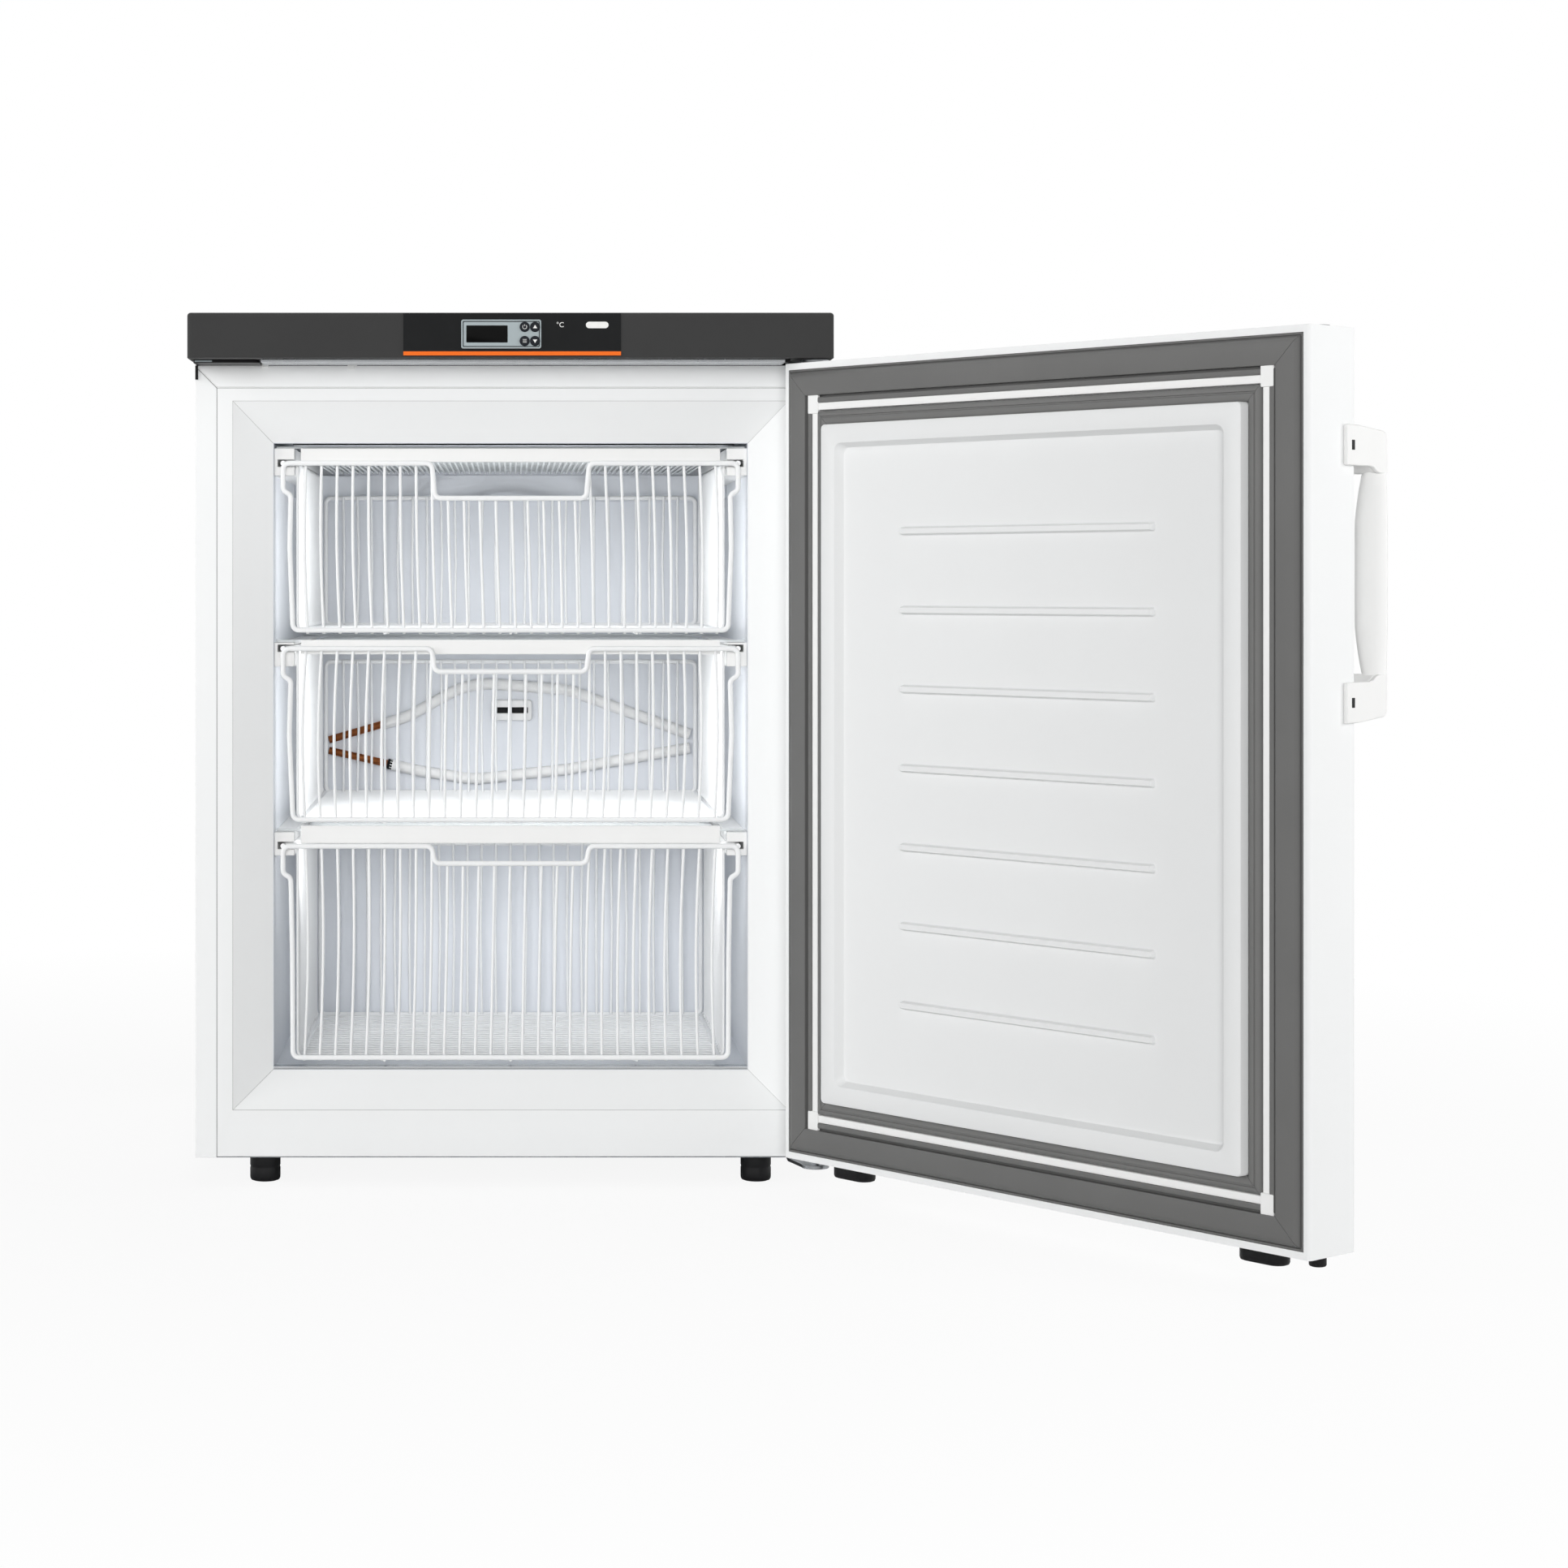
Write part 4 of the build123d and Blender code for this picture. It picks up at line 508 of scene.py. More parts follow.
def basket(level):
    """One basket: bent front with a hand notch, U-shaped wires for sides and floor, and a lower back."""
    node, body = "basket_" + level, level + "_basket"
    low, high = reach(node)
    rim = high.z - RIM_WIRE
    floor = low.z + RIM_WIRE + 2 * MESH_WIRE
    front = low.y + RIM_WIRE
    back = high.y - RIM_WIRE
    notch = NOTCHES[level]
    waist = RIM_HALF - SHOULDER_STEP
    lean, bow = LEANS[level]

    def sway(x, z):
        """How far a front wire is bent sideways, as hand-bent wire is."""
        share = (rim - z) / (rim - floor)
        return lean * share * (1 - abs(x) / RIM_HALF) ** 0.5 + bow * sin(pi * share) * x / RIM_HALF

    def front_route(x, top):
        heights = [top + (floor - RIM_WIRE - 1 - top) * i / 8 for i in range(9)]
        return [(x + sway(x, z), front + RIM_WIRE + MESH_WIRE - 0.3, z) for z in heights]

    frame_line = [
        (-RIM_HALF, rim), (-NOTCH_HALF - 3, rim), (-NOTCH_HALF, notch), (NOTCH_HALF, notch),
        (NOTCH_HALF + 3, rim), (RIM_HALF, rim), (RIM_HALF, rim - SHOULDER_DROP),
        (waist, rim - SHOULDER_DROP - 4), (waist + bow / 2, (rim + floor) / 2), (waist - 2, floor),
        (2 - waist, floor), (-waist - bow / 2, (rim + floor) / 2), (-waist, rim - SHOULDER_DROP - 4),
        (-RIM_HALF, rim - SHOULDER_DROP),
    ]
    outline = bent([(x, front, z) for x, z in frame_line], 6, closed=True)
    wires(node + "_front_frame", [outline], RIM_WIRE, basket_coat, body, "basket_white", node,
          closed=True, sides=3)

    uprights = []
    count = int((waist - 6) / WIRE_PITCH)
    for i in range(-count, count + 1):
        x = i * WIRE_PITCH
        uprights.append(front_route(x, notch if abs(x) < NOTCH_HALF else rim))
    wires(node + "_front_wires", uprights, MESH_WIRE, basket_coat, body, "basket_white")

    cross = []
    steps = int((back - front - 12) / WIRE_PITCH)
    for i in range(steps + 1):
        y = front + 8 + i * (back - front - 16) / steps
        u_line = [
            (-RIM_HALF + RIM_WIRE, y, rim + 1), (-SIDE_HALF, y, rim + 1), (-SIDE_HALF, y, floor),
            (SIDE_HALF, y, floor), (SIDE_HALF, y, rim + 1), (RIM_HALF - RIM_WIRE, y, rim + 1),
        ]
        cross.append(bent(u_line, 6, 4))
    wires(node + "_u_wires", cross, MESH_WIRE, basket_coat, body, "basket_white", sides=1)

    rails = [[(s * RIM_HALF, front, rim), (s * RIM_HALF, back, rim)] for s in (-1, 1)]
    lower = SIDE_HALF - RIM_WIRE - MESH_WIRE
    rails += [[(s * lower, front, floor), (s * lower, back, floor)] for s in (-1, 1)]
    wires(node + "_long_wires", rails, RIM_WIRE, basket_coat, body, "basket_white", sides=3)
    under = floor - 2 * MESH_WIRE
    runners = [[(x, front, under), (x, back, under)] for x in (-120, 0, 120)]
    wires(node + "_runners", runners, MESH_WIRE, basket_coat, body, "basket_white")

    top = rim - 22
    back_frame = [(-lower, back, top), (lower, back, top), (lower, back, floor), (-lower, back, floor)]
    wires(node + "_back_frame", [bent(back_frame, 6, closed=True)], RIM_WIRE, basket_coat, body,
          "basket_white", closed=True, sides=3)
    count = int((lower - 6) / WIRE_PITCH)
    posts = []
    for i in range(-count, count + 1):
        x = i * WIRE_PITCH
        y = back - RIM_WIRE - MESH_WIRE + 0.3
        posts.append([(x, y, top + 1), (x + 1.5 * sin(i), y, (top + floor) / 2), (x, y, floor - 1)])
    wires(node + "_back_wires", posts, MESH_WIRE, basket_coat, body, "basket_white")


for level in ("upper", "middle", "lower"):
    basket(level)


# ---- Copper link between two evaporators, its sleeves, and the sensor clip
LINK_BEND = 90.0
UPPER_LINK = ((-196.7, 399.7), (-112.0, 424.5), (-45.0, 462.0), (62.3, 454.1), (194.0, 405.8))
LOWER_LINK = ((-196.7, 388.3), (-100.0, 366.3), (-40.0, 357.0), (62.3, 368.0), (194.0, 391.0))
UPPER_JOINT, LOWER_JOINT = 57.1, 65.9


def link_pipes():
    low, high = reach("link_sleeves")
    y = (low.y + high.y) / 2
    copper, sleeves, collars = [], [], []
    for route, share in ((UPPER_LINK, UPPER_JOINT), (LOWER_LINK, LOWER_JOINT)):
        (x, z), (next_x, next_z) = route[:2]
        joint = (x + share, z + share * (next_z - z) / (next_x - x))
        ahead = Vector((next_x - x, 0, next_z - z)).normalized()
        copper.append([(x, y, z), (joint[0], y, joint[1])])
        sleeves.append(bent([(p, y, q) for p, q in (joint, *route[1:])], LINK_BEND, 10))
        collars.append((Vector((joint[0], y, joint[1])), ahead))
    wires("copper_link", copper, 4, copper_tube, CABINET, "copper", "refrigerant_link", sides=4)
    wires("white_sleeves", sleeves, 6, white_abs, CABINET, "white_plastic", "link_sleeves", sides=4)
    centre, ahead = collars[1]
    turned(
        "sleeve_end_seal", centre - ahead * 3, [(4.2, 0), (5.6, 0.6), (5.9, 3), (5.9, 5.5), (4.2, 6)],
        black_nylon, CABINET, "black_plastic", axis=ahead,
    )


link_pipes()


def sensor():
    low, high = reach("sensor_clip")
    size = high - low
    middle = (low + high) / 2
    place = seat(Vector((middle.x, high.y, middle.z)), RIGHT, UP, -BACK)
    depth = size.y
    stacked(
        "sensor_housing", place,
        [(ring(size.x, size.z, 3), 0), (ring(size.x, size.z, 3), depth - 1.5),
         (ring(size.x - 1, size.z - 1, 2.5), depth - 0.5), (ring(size.x - 3, size.z - 3, 2), depth),
         (ring(size.x - 8, 7, 1), depth), (ring(size.x - 8.4, 6.6, 1), depth - 0.5),
         (ring(size.x - 8.4, 6.6, 1), depth / 2)],
        white_abs, CABINET, "white_plastic", "sensor_clip",
    )
    stacked(
        "sensor_slot", place,
        [(ring(size.x - 8.4, 6.4, 1), depth / 2), (ring(size.x - 9, 6, 1), depth / 2 + 1)],
        black_nylon, CABINET, "black_plastic",
    )


sensor()


# ---- Controls on the cover's front
def controller():
    low, high = reach("controller_bezel")
    centre = Vector(((low.x + high.x) / 2, high.y, (low.z + high.z) / 2))
    place = seat(centre, RIGHT, UP, -BACK)
    wide, tall, deep = high.x - low.x, high.z - low.z, high.y - low.y

    def inset(d, corner):
        return ring(wide - 2 * d, tall - 2 * d, corner)

    stacked(
        "bezel_frame", place,
        [(inset(0, 2), 0), (inset(0, 2), deep - 0.7), (inset(0.3, 1.8), deep - 0.15), (inset(0.8, 1.5), deep),
         (inset(1.3, 1.2), deep - 0.15), (inset(1.6, 1), deep - 0.9), (inset(2.2, 0.9), deep - 0.9),
         (inset(2.4, 0.9), deep - 0.4), (inset(2.8, 0.9), deep - 0.25)],
        silver_abs, CABINET, "bezel_silver", "controller_bezel",
    )
    groove = [(inset(1.5, 1), deep - 1.0), (inset(1.55, 1), deep - 0.86), (inset(2.3, 0.9), deep - 0.86)]
    stacked("bezel_groove", place, groove, black_nylon, CABINET, "black_plastic")
    window_low, window_high = reach("display_window")
    w_wide, w_tall = window_high.x - window_low.x, window_high.z - window_low.z
    w_centre = Vector(((window_low.x + window_high.x) / 2, high.y, (window_low.z + window_high.z) / 2))
    window = seat(w_centre, RIGHT, UP, -BACK)
    stacked(
        "display_pane", window,
        [(ring(w_wide, w_tall, 0.6), deep - 0.6), (ring(w_wide, w_tall, 0.6), deep - 0.2),
         (ring(w_wide - 0.4, w_tall - 0.4, 0.5), deep - 0.05)],
        smoked_acrylic, CABINET, "window_black", "display_window",
    )


controller()

KEY_RADIUS = 4.7


def key(node, body):
    """Domed rubber key with a generic mark printed on it."""
    low, high = reach(node)
    centre = Vector(((low.x + high.x) / 2, high.y, (low.z + high.z) / 2))
    place = seat(centre, RIGHT, UP, -BACK)
    deep = high.y - low.y
    profile = [(KEY_RADIUS, 0), (KEY_RADIUS, deep - 0.6), (KEY_RADIUS - 0.25, deep - 0.2),
               (KEY_RADIUS - 0.8, deep - 0.05), (KEY_RADIUS - 1.6, deep)]
    stacked(node + "_cap", place, [(circle(r), w) for r, w in profile], key_silicone, body, "key_black", node)
    face = deep - 0.02
    arms = {"key_up": 1, "key_down": -1}
    if node in arms:
        hand = arms[node]
        outline = [(0, 1.9 * hand), (-2.0, -1.3 * hand), (2.0, -1.3 * hand)]
        outline = outline if hand > 0 else outline[::-1]
        stacked(node + "_mark", place, [(outline, face), (outline, face + 0.06)], white_ink, body, "lamp_white")
    elif node == "key_power":
        arc = [(1.9 * sin(a), 1.9 * cos(a)) for a in (radians(40 + 280 * i / 24) for i in range(25))]
        route = [place(u, v, face + 0.02) for u, v in arc]
        stem = [place(0, 0.6, face + 0.02), place(0, 2.3, face + 0.02)]
        wires(node + "_mark", [route, stem], 0.24, white_ink, body, "lamp_white")
    else:
        bars = [[place(-1.8, v, face + 0.02), place(1.8, v, face + 0.02)] for v in (-1.3, 0, 1.3)]
        wires(node + "_mark", bars, 0.24, white_ink, body, "lamp_white")


for node, body in (
    ("key_set", "set_key"), ("key_up", "up_key"), ("key_down", "down_key"), ("key_power", "power_key")
):
    key(node, body)


def frame_joints():
    """Open joints round the frame, painted shade along the folds and mitres of its bevelled bars, and black
    strips of painted shadow in two gaps.
    """
    side, sill, lintel = 277.7, 26.2, 753.6
    wide, low, high = 262.7, 71.0, 741.4
    joints = [[(-side, CASE_FRONT, sill), (-side, CASE_FRONT, lintel), (side, CASE_FRONT, lintel),
               (side, CASE_FRONT, sill)]]
    folds = [[(-wide, CASE_FRONT, low), (-wide, CASE_FRONT, high), (wide, CASE_FRONT, high),
              (wide, CASE_FRONT, low), (-wide, CASE_FRONT, low)]]
    for hand in (-1, 1):
        joints.append([(hand * side, CASE_FRONT, lintel), (hand * 296.5, CASE_FRONT, 772.4)])
        for outer, inner in ((low, 106.5), (high, 702.1)):
            folds.append([(hand * wide, CASE_FRONT, outer), (hand * 225.8, CASE_FRONT + 20, inner)])
    wires("frame_joints", joints, 0.3, open_joint, CABINET, "frame_white", sides=1)
    # Grey strips of painted shade on the folds where the flat front turns into the bevel, and on the bevel's
    # mitres
    wires("frame_fold_shade_and_mitres", folds, 0.28, fold_shade_and_mitre, CABINET, "frame_white", sides=1)
    # Black strips painted as the shadow in the gap behind the lintel, and in the one between the case's top and
    # the rail under the cover
    wires("lintel_shadow", [[(-207, CASE_FRONT + 21.5, 701.2), (213, CASE_FRONT + 21.5, 701.2)]], 0.8,
          black_nylon, CABINET, "black_plastic", sides=1)
    wires("lintel_gap_shadow", [[(-232, CASE_FRONT, 775.2), (256, CASE_FRONT, 775.2)]], 0.6, black_nylon, CABINET,
          "black_plastic", sides=1)


frame_joints()
block("rail_tab", (-154, CASE_FRONT - 2, 774), (-145, CASE_FRONT, 782.5), 0.5, white_abs, CABINET,
      "white_plastic")


def degree_mark():
    """Unit mark printed beside the lamp window."""
    low = reach("control_overlay")[0]
    text = bpy.data.curves.new("degree_mark", "FONT")
    text.body = "°C"
    text.size = 6.5 * MM
    text.extrude = 0.03 * MM
    text.align_x = "CENTER"
    text.align_y = "CENTER"
    holder = bpy.data.objects.new("degree_text", text)
    bpy.context.scene.collection.objects.link(holder)
    bpy.context.view_layer.update()
    data = bpy.data.meshes.new_from_object(holder)
    bpy.data.objects.remove(holder)
    for vertex in data.vertices:
        u, v, w = vertex.co
        vertex.co = Vector((46.0, low.y - 0.04, 808.3)) * MM + RIGHT * u + UP * v - BACK * w
    link_piece("degree_mark", data, white_ink, CABINET, "lamp_white")


degree_mark()


def under_cover():
    """Small fittings in the gap under the cover: latch tabs, a grey slot in the cap and a collar."""
    for x, z in ((-150.5, 771.5), (-232.0, 773.0)):
        block("cover_tab_%d" % -x, (x - 3.2, -278.0, z), (x + 3.2, -274.8, 778.5), 0.5, white_abs, CABINET,
              "white_plastic")
    low, high = reach("hinge_cap")
    block("cap_slot", (low.x + 2, low.y - 0.3, low.z + 0.8), (low.x + 18, low.y + 1, high.z - 0.6), 0.2,
          silver_abs, CABINET, "bezel_silver")
    block("cap_leg", (-298.0, -277.0, 761.5), (-295.4, -274.9, 775.0), 0.4, black_nylon, CABINET,
          "black_plastic")
    low, high = reach("cover_rail")
    block("rail_collar", (high.x + 0.2, low.y + 4, low.z), (high.x + 5.2, low.y + 14, high.z), 0.4,
          black_nylon, CABINET, "black_plastic")


under_cover()


# ---- Door
def on_door(along, out_gap, z):
    """Point of the door: along from its middle, gap in front of the shut case, and height."""
    return DOOR_CENTRE + ALONG * along + OUT * (out_gap - HINGE_GAP) + UP * z


def door_bars(name, profile, material, slot, node):
    """Four bars round the door with fine open mitres, from (distance from the seal's edge, gap) points."""
    form = bmesh.new()
    half_x, half_z = DOOR_HALF - SEAL_EDGE, DOOR_HEIGHT / 2 - SEAL_EDGE
    for turn in range(4):
        ends = []
        for hand in (-1, 1):
            row = []
            for inward, gap in profile:
                long_x, long_z = half_x - inward, half_z - inward
                if turn % 2 == 0:
                    side = -1 if turn == 0 else 1
                    at = (hand * (long_x - MITRE_GAP), side * long_z)
                else:
                    side = 1 if turn == 1 else -1
                    at = (side * long_x, hand * (long_z - MITRE_GAP))
                row.append(form.verts.new(on_door(at[0], gap, DOOR_MIDDLE + at[1]) * MM))
            ends.append(row)
        count = len(profile)
        for i in range(count):
            j = (i + 1) % count
            form.faces.new((ends[0][i], ends[0][j], ends[1][j], ends[1][i]))
        form.faces.new(ends[0][::-1])
        form.faces.new(ends[1])
    return link_piece(name, mesh_from(form, name), material, "door", slot, node)


door_bars(
    "magnetic_seal",
    [(0, 10), (0, 4.8), (0.4, 4.0), (1.2, 3.7), (2.0, 4.0), (2.3, 5.4), (2.9, 5.4), (3.2, 3.2), (4.2, 2.0),
     (5.6, 0.9), (7, 0.4), (8.4, 0.3), (24.2, 0.3), (24.8, 0.6),
     (25, 1.3), (25, 6.3), (27, 6.3), (27, 2.8), (27.6, 2.1), (28.4, 2.0), (31, 2.0), (31.7, 2.3),
     (32, 3.0), (32, 10)],
    seal_dark, "gasket_grey", "outer_gasket",
)
door_bars(
    "retainer_strip",
    [(32, 10), (32, 3.8), (32.5, 3.1), (33.4, 3.0), (37.6, 3.0), (38.6, 3.2), (39, 3.8), (39, 10)],
    white_abs, "white_plastic", "gasket_retainer",
)
door_bars(
    "inner_bellows",
    [(40, 10), (40, 3.6), (40.5, 2.2), (41.8, 1.2), (43, 1.0), (44.6, 1.0), (45.1, 1.9), (46.1, 1.9),
     (46.6, 1.0), (50.6, 1.0), (52, 1.6), (53, 3), (53, 10)],
    seal_grey, "seal_grey", "inner_gasket",
)


def retainer_corners():
    """Square clips that join the retainer strips at the four corners."""
    half_x = DOOR_HALF - SEAL_EDGE - 35.5
    half_z = DOOR_HEIGHT / 2 - SEAL_EDGE - 35.5
    for number, (x, z) in enumerate(((-1, -1), (1, -1), (1, 1), (-1, 1))):
        centre = on_door(x * (half_x + 1.5), 4.5, DOOR_MIDDLE + z * (half_z + 3.5))
        place = seat(centre, ALONG, UP, -OUT)
        layers = [(ring(13, 20, 1.2), 0), (ring(13, 20, 1.2), 2.2), (ring(12.2, 19.2, 1), 2.7)]
        stacked("retainer_corner_%d" % number, place, layers, white_abs, "door", "white_plastic")


retainer_corners()

PLATEAU_INSET, PLATEAU_BORDER = 59.0, 18.0
PLATEAU_FACE = -7.0
RIB_LENGTH, RIB_WIDTH, RIB_HEIGHT, RIB_COUNT = 289.0, 7.0, 6.0, 7
RIB_PITCH = 70.7


def door_panel():
    """Formed sheet inside the door: seal seat, raised border, and a sunk panel with ribs."""
    wide, tall = DOOR_WIDTH - 2, DOOR_HEIGHT - 2
    place = seat(on_door(0, 0, DOOR_MIDDLE), ALONG, UP, -OUT)
    top, panel = -PLATEAU_FACE, -(PLATEAU_FACE + 9)

    def sheet(inset, corner):
        return ring(wide - 2 * inset, tall - 2 * inset, corner, 8)

    edge = PLATEAU_INSET - 1
    inner = edge + PLATEAU_BORDER
    layers = [
        (sheet(0, 2), -12), (sheet(0, 2), -LINER_SEAT), (sheet(edge - 1, 4.6), -LINER_SEAT),
        (sheet(edge - 0.3, 4.4), -LINER_SEAT + 0.4), (sheet(edge, 4), -LINER_SEAT + 1.4),
        (sheet(edge, 4), top - 1.4), (sheet(edge + 0.4, 4), top - 0.4), (sheet(edge + 1.3, 4), top),
        (sheet(inner - 1.6, 8), top), (sheet(inner - 0.5, 8), top - 0.5), (sheet(inner, 8), top - 1.6),
        (sheet(inner + 3.0, 7), panel + 1.6), (sheet(inner + 3.6, 7), panel + 0.5),
        (sheet(inner + 5, 6), panel),
    ]
    stacked("door_inner_panel", place, layers, liner_white, "door", "liner_white", "door_liner")
    for i in range(RIB_COUNT):
        z = DOOR_MIDDLE + (i - (RIB_COUNT - 1) / 2) * RIB_PITCH
        rib = seat(on_door(0, 0, z), ALONG, UP, -OUT)
        deep = RIB_HEIGHT - 1.5
        layers = [
            (ring(RIB_LENGTH + 2, RIB_WIDTH + 2, 3), panel - 0.2),
            (ring(RIB_LENGTH, RIB_WIDTH, 2.5), panel + 0.5),
            (ring(RIB_LENGTH - 1.4, RIB_WIDTH - 1.4, 2), panel + deep - 0.8),
            (ring(RIB_LENGTH - 2.6, RIB_WIDTH - 2.6, 1.6), panel + deep),
        ]
        stacked("door_rib_%d" % i, rib, layers, liner_white, "door", "liner_white")


door_panel()


# ---- Handle on the free side of the door
HANDLE_LOW, HANDLE_TALL, BRACKET = 456.7, 239.0, 33.0
HANDLE_REACH, HANDLE_LAP, HANDLE_WIDE, HANDLE_PLATE = 38.0, 16.0, 30.0, 4.0
GRIP_THICK, GRIP_BULGE = 13.0, 5.0


def on_side(out, z, away=0.0):
    """Point beside the door's free edge: out from the hinge line, height, and distance from the edge."""
    return DOOR_CENTRE + ALONG * (DOOR_HALF + away) + OUT * out + UP * z


ARM_START = DOOR_FAR - HINGE_GAP
ARM_END = ARM_START + HANDLE_REACH


def handle_bracket(name, low, hand):
    """Bracket that narrows to a rounded tip: a plate on the door's edge and an arm over the grip's end."""
    place = seat(on_side(0, low + BRACKET / 2), OUT, UP, ALONG)
    half = BRACKET / 2
    tip = [(ARM_END - 24, -half), (ARM_END - 19, -half - 1), (ARM_END - 15, -half - 4),
           (ARM_END - 11, -half - 5.5), (ARM_END - 0.4, -half - 5.5), (ARM_END - 1, half - 11)]
    tip += [(ARM_END - 1 - 6 * (1 - cos(a)), half - 11 + 7 * sin(a)) for a in
            (radians(90 * i / 6) for i in range(1, 7))]
    arm = [(ARM_START + 0.1, -half), *tip, (ARM_START + 0.1, half - 0.3)]
    plate = [(ARM_START - HANDLE_LAP, -half + 0.3), (ARM_START + 0.1, -half), *tip,
             (ARM_START + 0.1, half - 0.3), (ARM_START - HANDLE_LAP, half)]
    pieces = []
    for part, outline, low_side, high_side, edge in (
        ("arm", arm, HANDLE_PLATE - HANDLE_WIDE, 0.2, 2.4),
        ("plate", plate, 0.05, HANDLE_PLATE, 1.2),
    ):
        outline = [(u, hand * v) for u, v in outline]
        piece = stacked(
            name + "_" + part, place, [(outline, low_side), (outline, high_side)], white_abs, "door",
            "white_plastic",
        )
        pieces.append(soft_edges(piece, edge, 4))
    return pieces[1]


lower_bracket = handle_bracket("handle_lower", HANDLE_LOW, -1)
handle_bracket("handle_upper", HANDLE_LOW + HANDLE_TALL - BRACKET, 1)
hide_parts("handle_brackets")


def grip():
    """Bowed grip: nearly flat outside, rounded on the side that the fingers go round, slimmer at its ends."""
    low, high = HANDLE_LOW + BRACKET - 0.2, HANDLE_LOW + HANDLE_TALL - BRACKET + 0.2
    far, levels, steps = HANDLE_PLATE, 24, 18

    def section(rise):
        top = ARM_END + GRIP_BULGE * 0.5 * rise - 0.5
        near = HANDLE_PLATE - HANDLE_WIDE * (0.62 + 0.38 * rise)
        middle, half = (near + far) / 2, (far - near) / 2
        depth = GRIP_THICK + 2 * rise
        across = [-cos(pi * i / steps) for i in range(steps + 1)]
        outer = [(middle + half * w, top - 3.5 * (1 - (1 - w**4) ** 0.5)) for w in across]
        inner = [(middle + half * w, top - 3.5 - (depth - 3.5) * (1 - w * w) ** 0.6) for w in across[-2:0:-1]]
        return outer + inner

    form = bmesh.new()
    rows = []
    for i in range(levels + 1):
        share = i / levels
        z = low + (high - low) * share
        outline = section(min(1.0, 1.25 * sin(pi * share) ** 0.7))
        rows.append([form.verts.new(on_side(out, z, away) * MM) for away, out in outline])
    for below, above in zip(rows, rows[1:]):
        for i in range(len(below)):
            j = (i + 1) % len(below)
            form.faces.new((below[i], below[j], above[j], above[i]))
    form.faces.new(rows[0][::-1])
    form.faces.new(rows[-1])
    link_piece("handle_channel", mesh_from(form, "handle_channel"), white_abs, "door", "white_plastic",
               "handle_grip")


grip()

for number, z in enumerate((HANDLE_LOW + BRACKET / 2, HANDLE_LOW + HANDLE_TALL - BRACKET / 2)):
    spot = seat(on_side(ARM_START - HANDLE_LAP / 2, z, HANDLE_PLATE), OUT, UP, ALONG)
    slot_layers = [(ring(4, 8, 0.6), -0.4), (ring(4, 8, 0.6), 0.05), (ring(3.6, 7.6, 0.5), 0.12)]
    screw = stacked("handle_screw_%d" % number, spot, slot_layers, black_nylon, "door", "black_plastic")
    if number == 0:
        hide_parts("handle_screws")


# ---- Stops, plug and feet
def door_stops():
    """Black stops under both ends of the door, each with a web to the corner."""
    drop, inset, long, wide = 14.5, 65.0, 45.0, 22.0
    for hand in (-1, 1):
        middle = seat(on_door(hand * (DOOR_HALF - inset), HINGE_GAP, DOOR_BOTTOM), ALONG, OUT, -UP)
        layers = [(ring(long, wide, 11, 8), 0), (ring(long, wide, 11, 8), drop - 2.5),
                  (ring(long - 1.6, wide - 1.6, 10, 8), drop - 0.7), (ring(long - 5, wide - 5, 8.5, 8), drop)]
        piece = stacked("door_stop_%s" % ("hinge" if hand < 0 else "free"), middle, layers, black_nylon,
                        "door", "black_plastic")
        if hand < 0:
            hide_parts("door_stops")
        web = 42.0 if hand < 0 else inset - HINGE_INSET
        link = seat(on_door(hand * (DOOR_HALF - inset + web / 2), HINGE_GAP, DOOR_BOTTOM), ALONG, OUT, -UP)
        stacked("stop_web_%s" % ("hinge" if hand < 0 else "free"), link,
                [(ring(web, 8, 1), 0), (ring(web, 8, 1), 4.6), (ring(web - 1, 7, 1), 5.2)], black_nylon,
                "door", "black_plastic")
    boss = on_door(DOOR_HALF - HINGE_INSET, HINGE_GAP, DOOR_BOTTOM)
    turned("stop_boss", boss, [(7, 0), (7, 8), (6.4, 9), (5, 9.5)], black_nylon, "door", "black_plastic",
           axis=-UP)


door_stops()
low, high = reach("door_plug")
turned(
    "bush_plug", ((low.x + high.x) / 2, (low.y + high.y) / 2, low.z),
    [(10, 0), (10, 0.5), (9.4, 0.9), (6, 1.0)], black_nylon, "door", "black_plastic", "door_plug",
)


def foot(name, centre, top, body, *nodes):
    """Levelling foot: a ribbed black pad."""
    profile = [(11.5, 0), (13.4, 0.7), (14.3, 2.2), (14.5, 4.5), (14.5, 12), (14.1, 13), (14.1, 14),
               (14.5, 15), (14.5, top - 2), (13.6, top - 0.6), (12.5, top)]
    return turned(name, centre, profile, black_nylon, body, "black_plastic", *nodes)


for side in ("left", "right"):
    node = "front_foot_" + side
    low, high = reach(node)
    centre = ((low.x + high.x) / 2, (low.y + high.y) / 2, 0)
    foot(node + "_pad", centre, 25.8, side + "_front_foot", node)
    turned(node + "_stem", (centre[0], centre[1], 25.8), [(4, 0), (4, high.z - 26.2), (3.4, high.z - 25.8)],
           zinc_plate, side + "_front_foot", "zinc_steel")
low, high = reach("rear_feet")
for name, x in (("rear_foot_left", low.x + 14.5), ("rear_foot_right", high.x - 14.5)):
    pad = foot(name, (x, (low.y + high.y) / 2, 0), 26, CABINET)
    if name == "rear_foot_left":
        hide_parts("rear_feet")


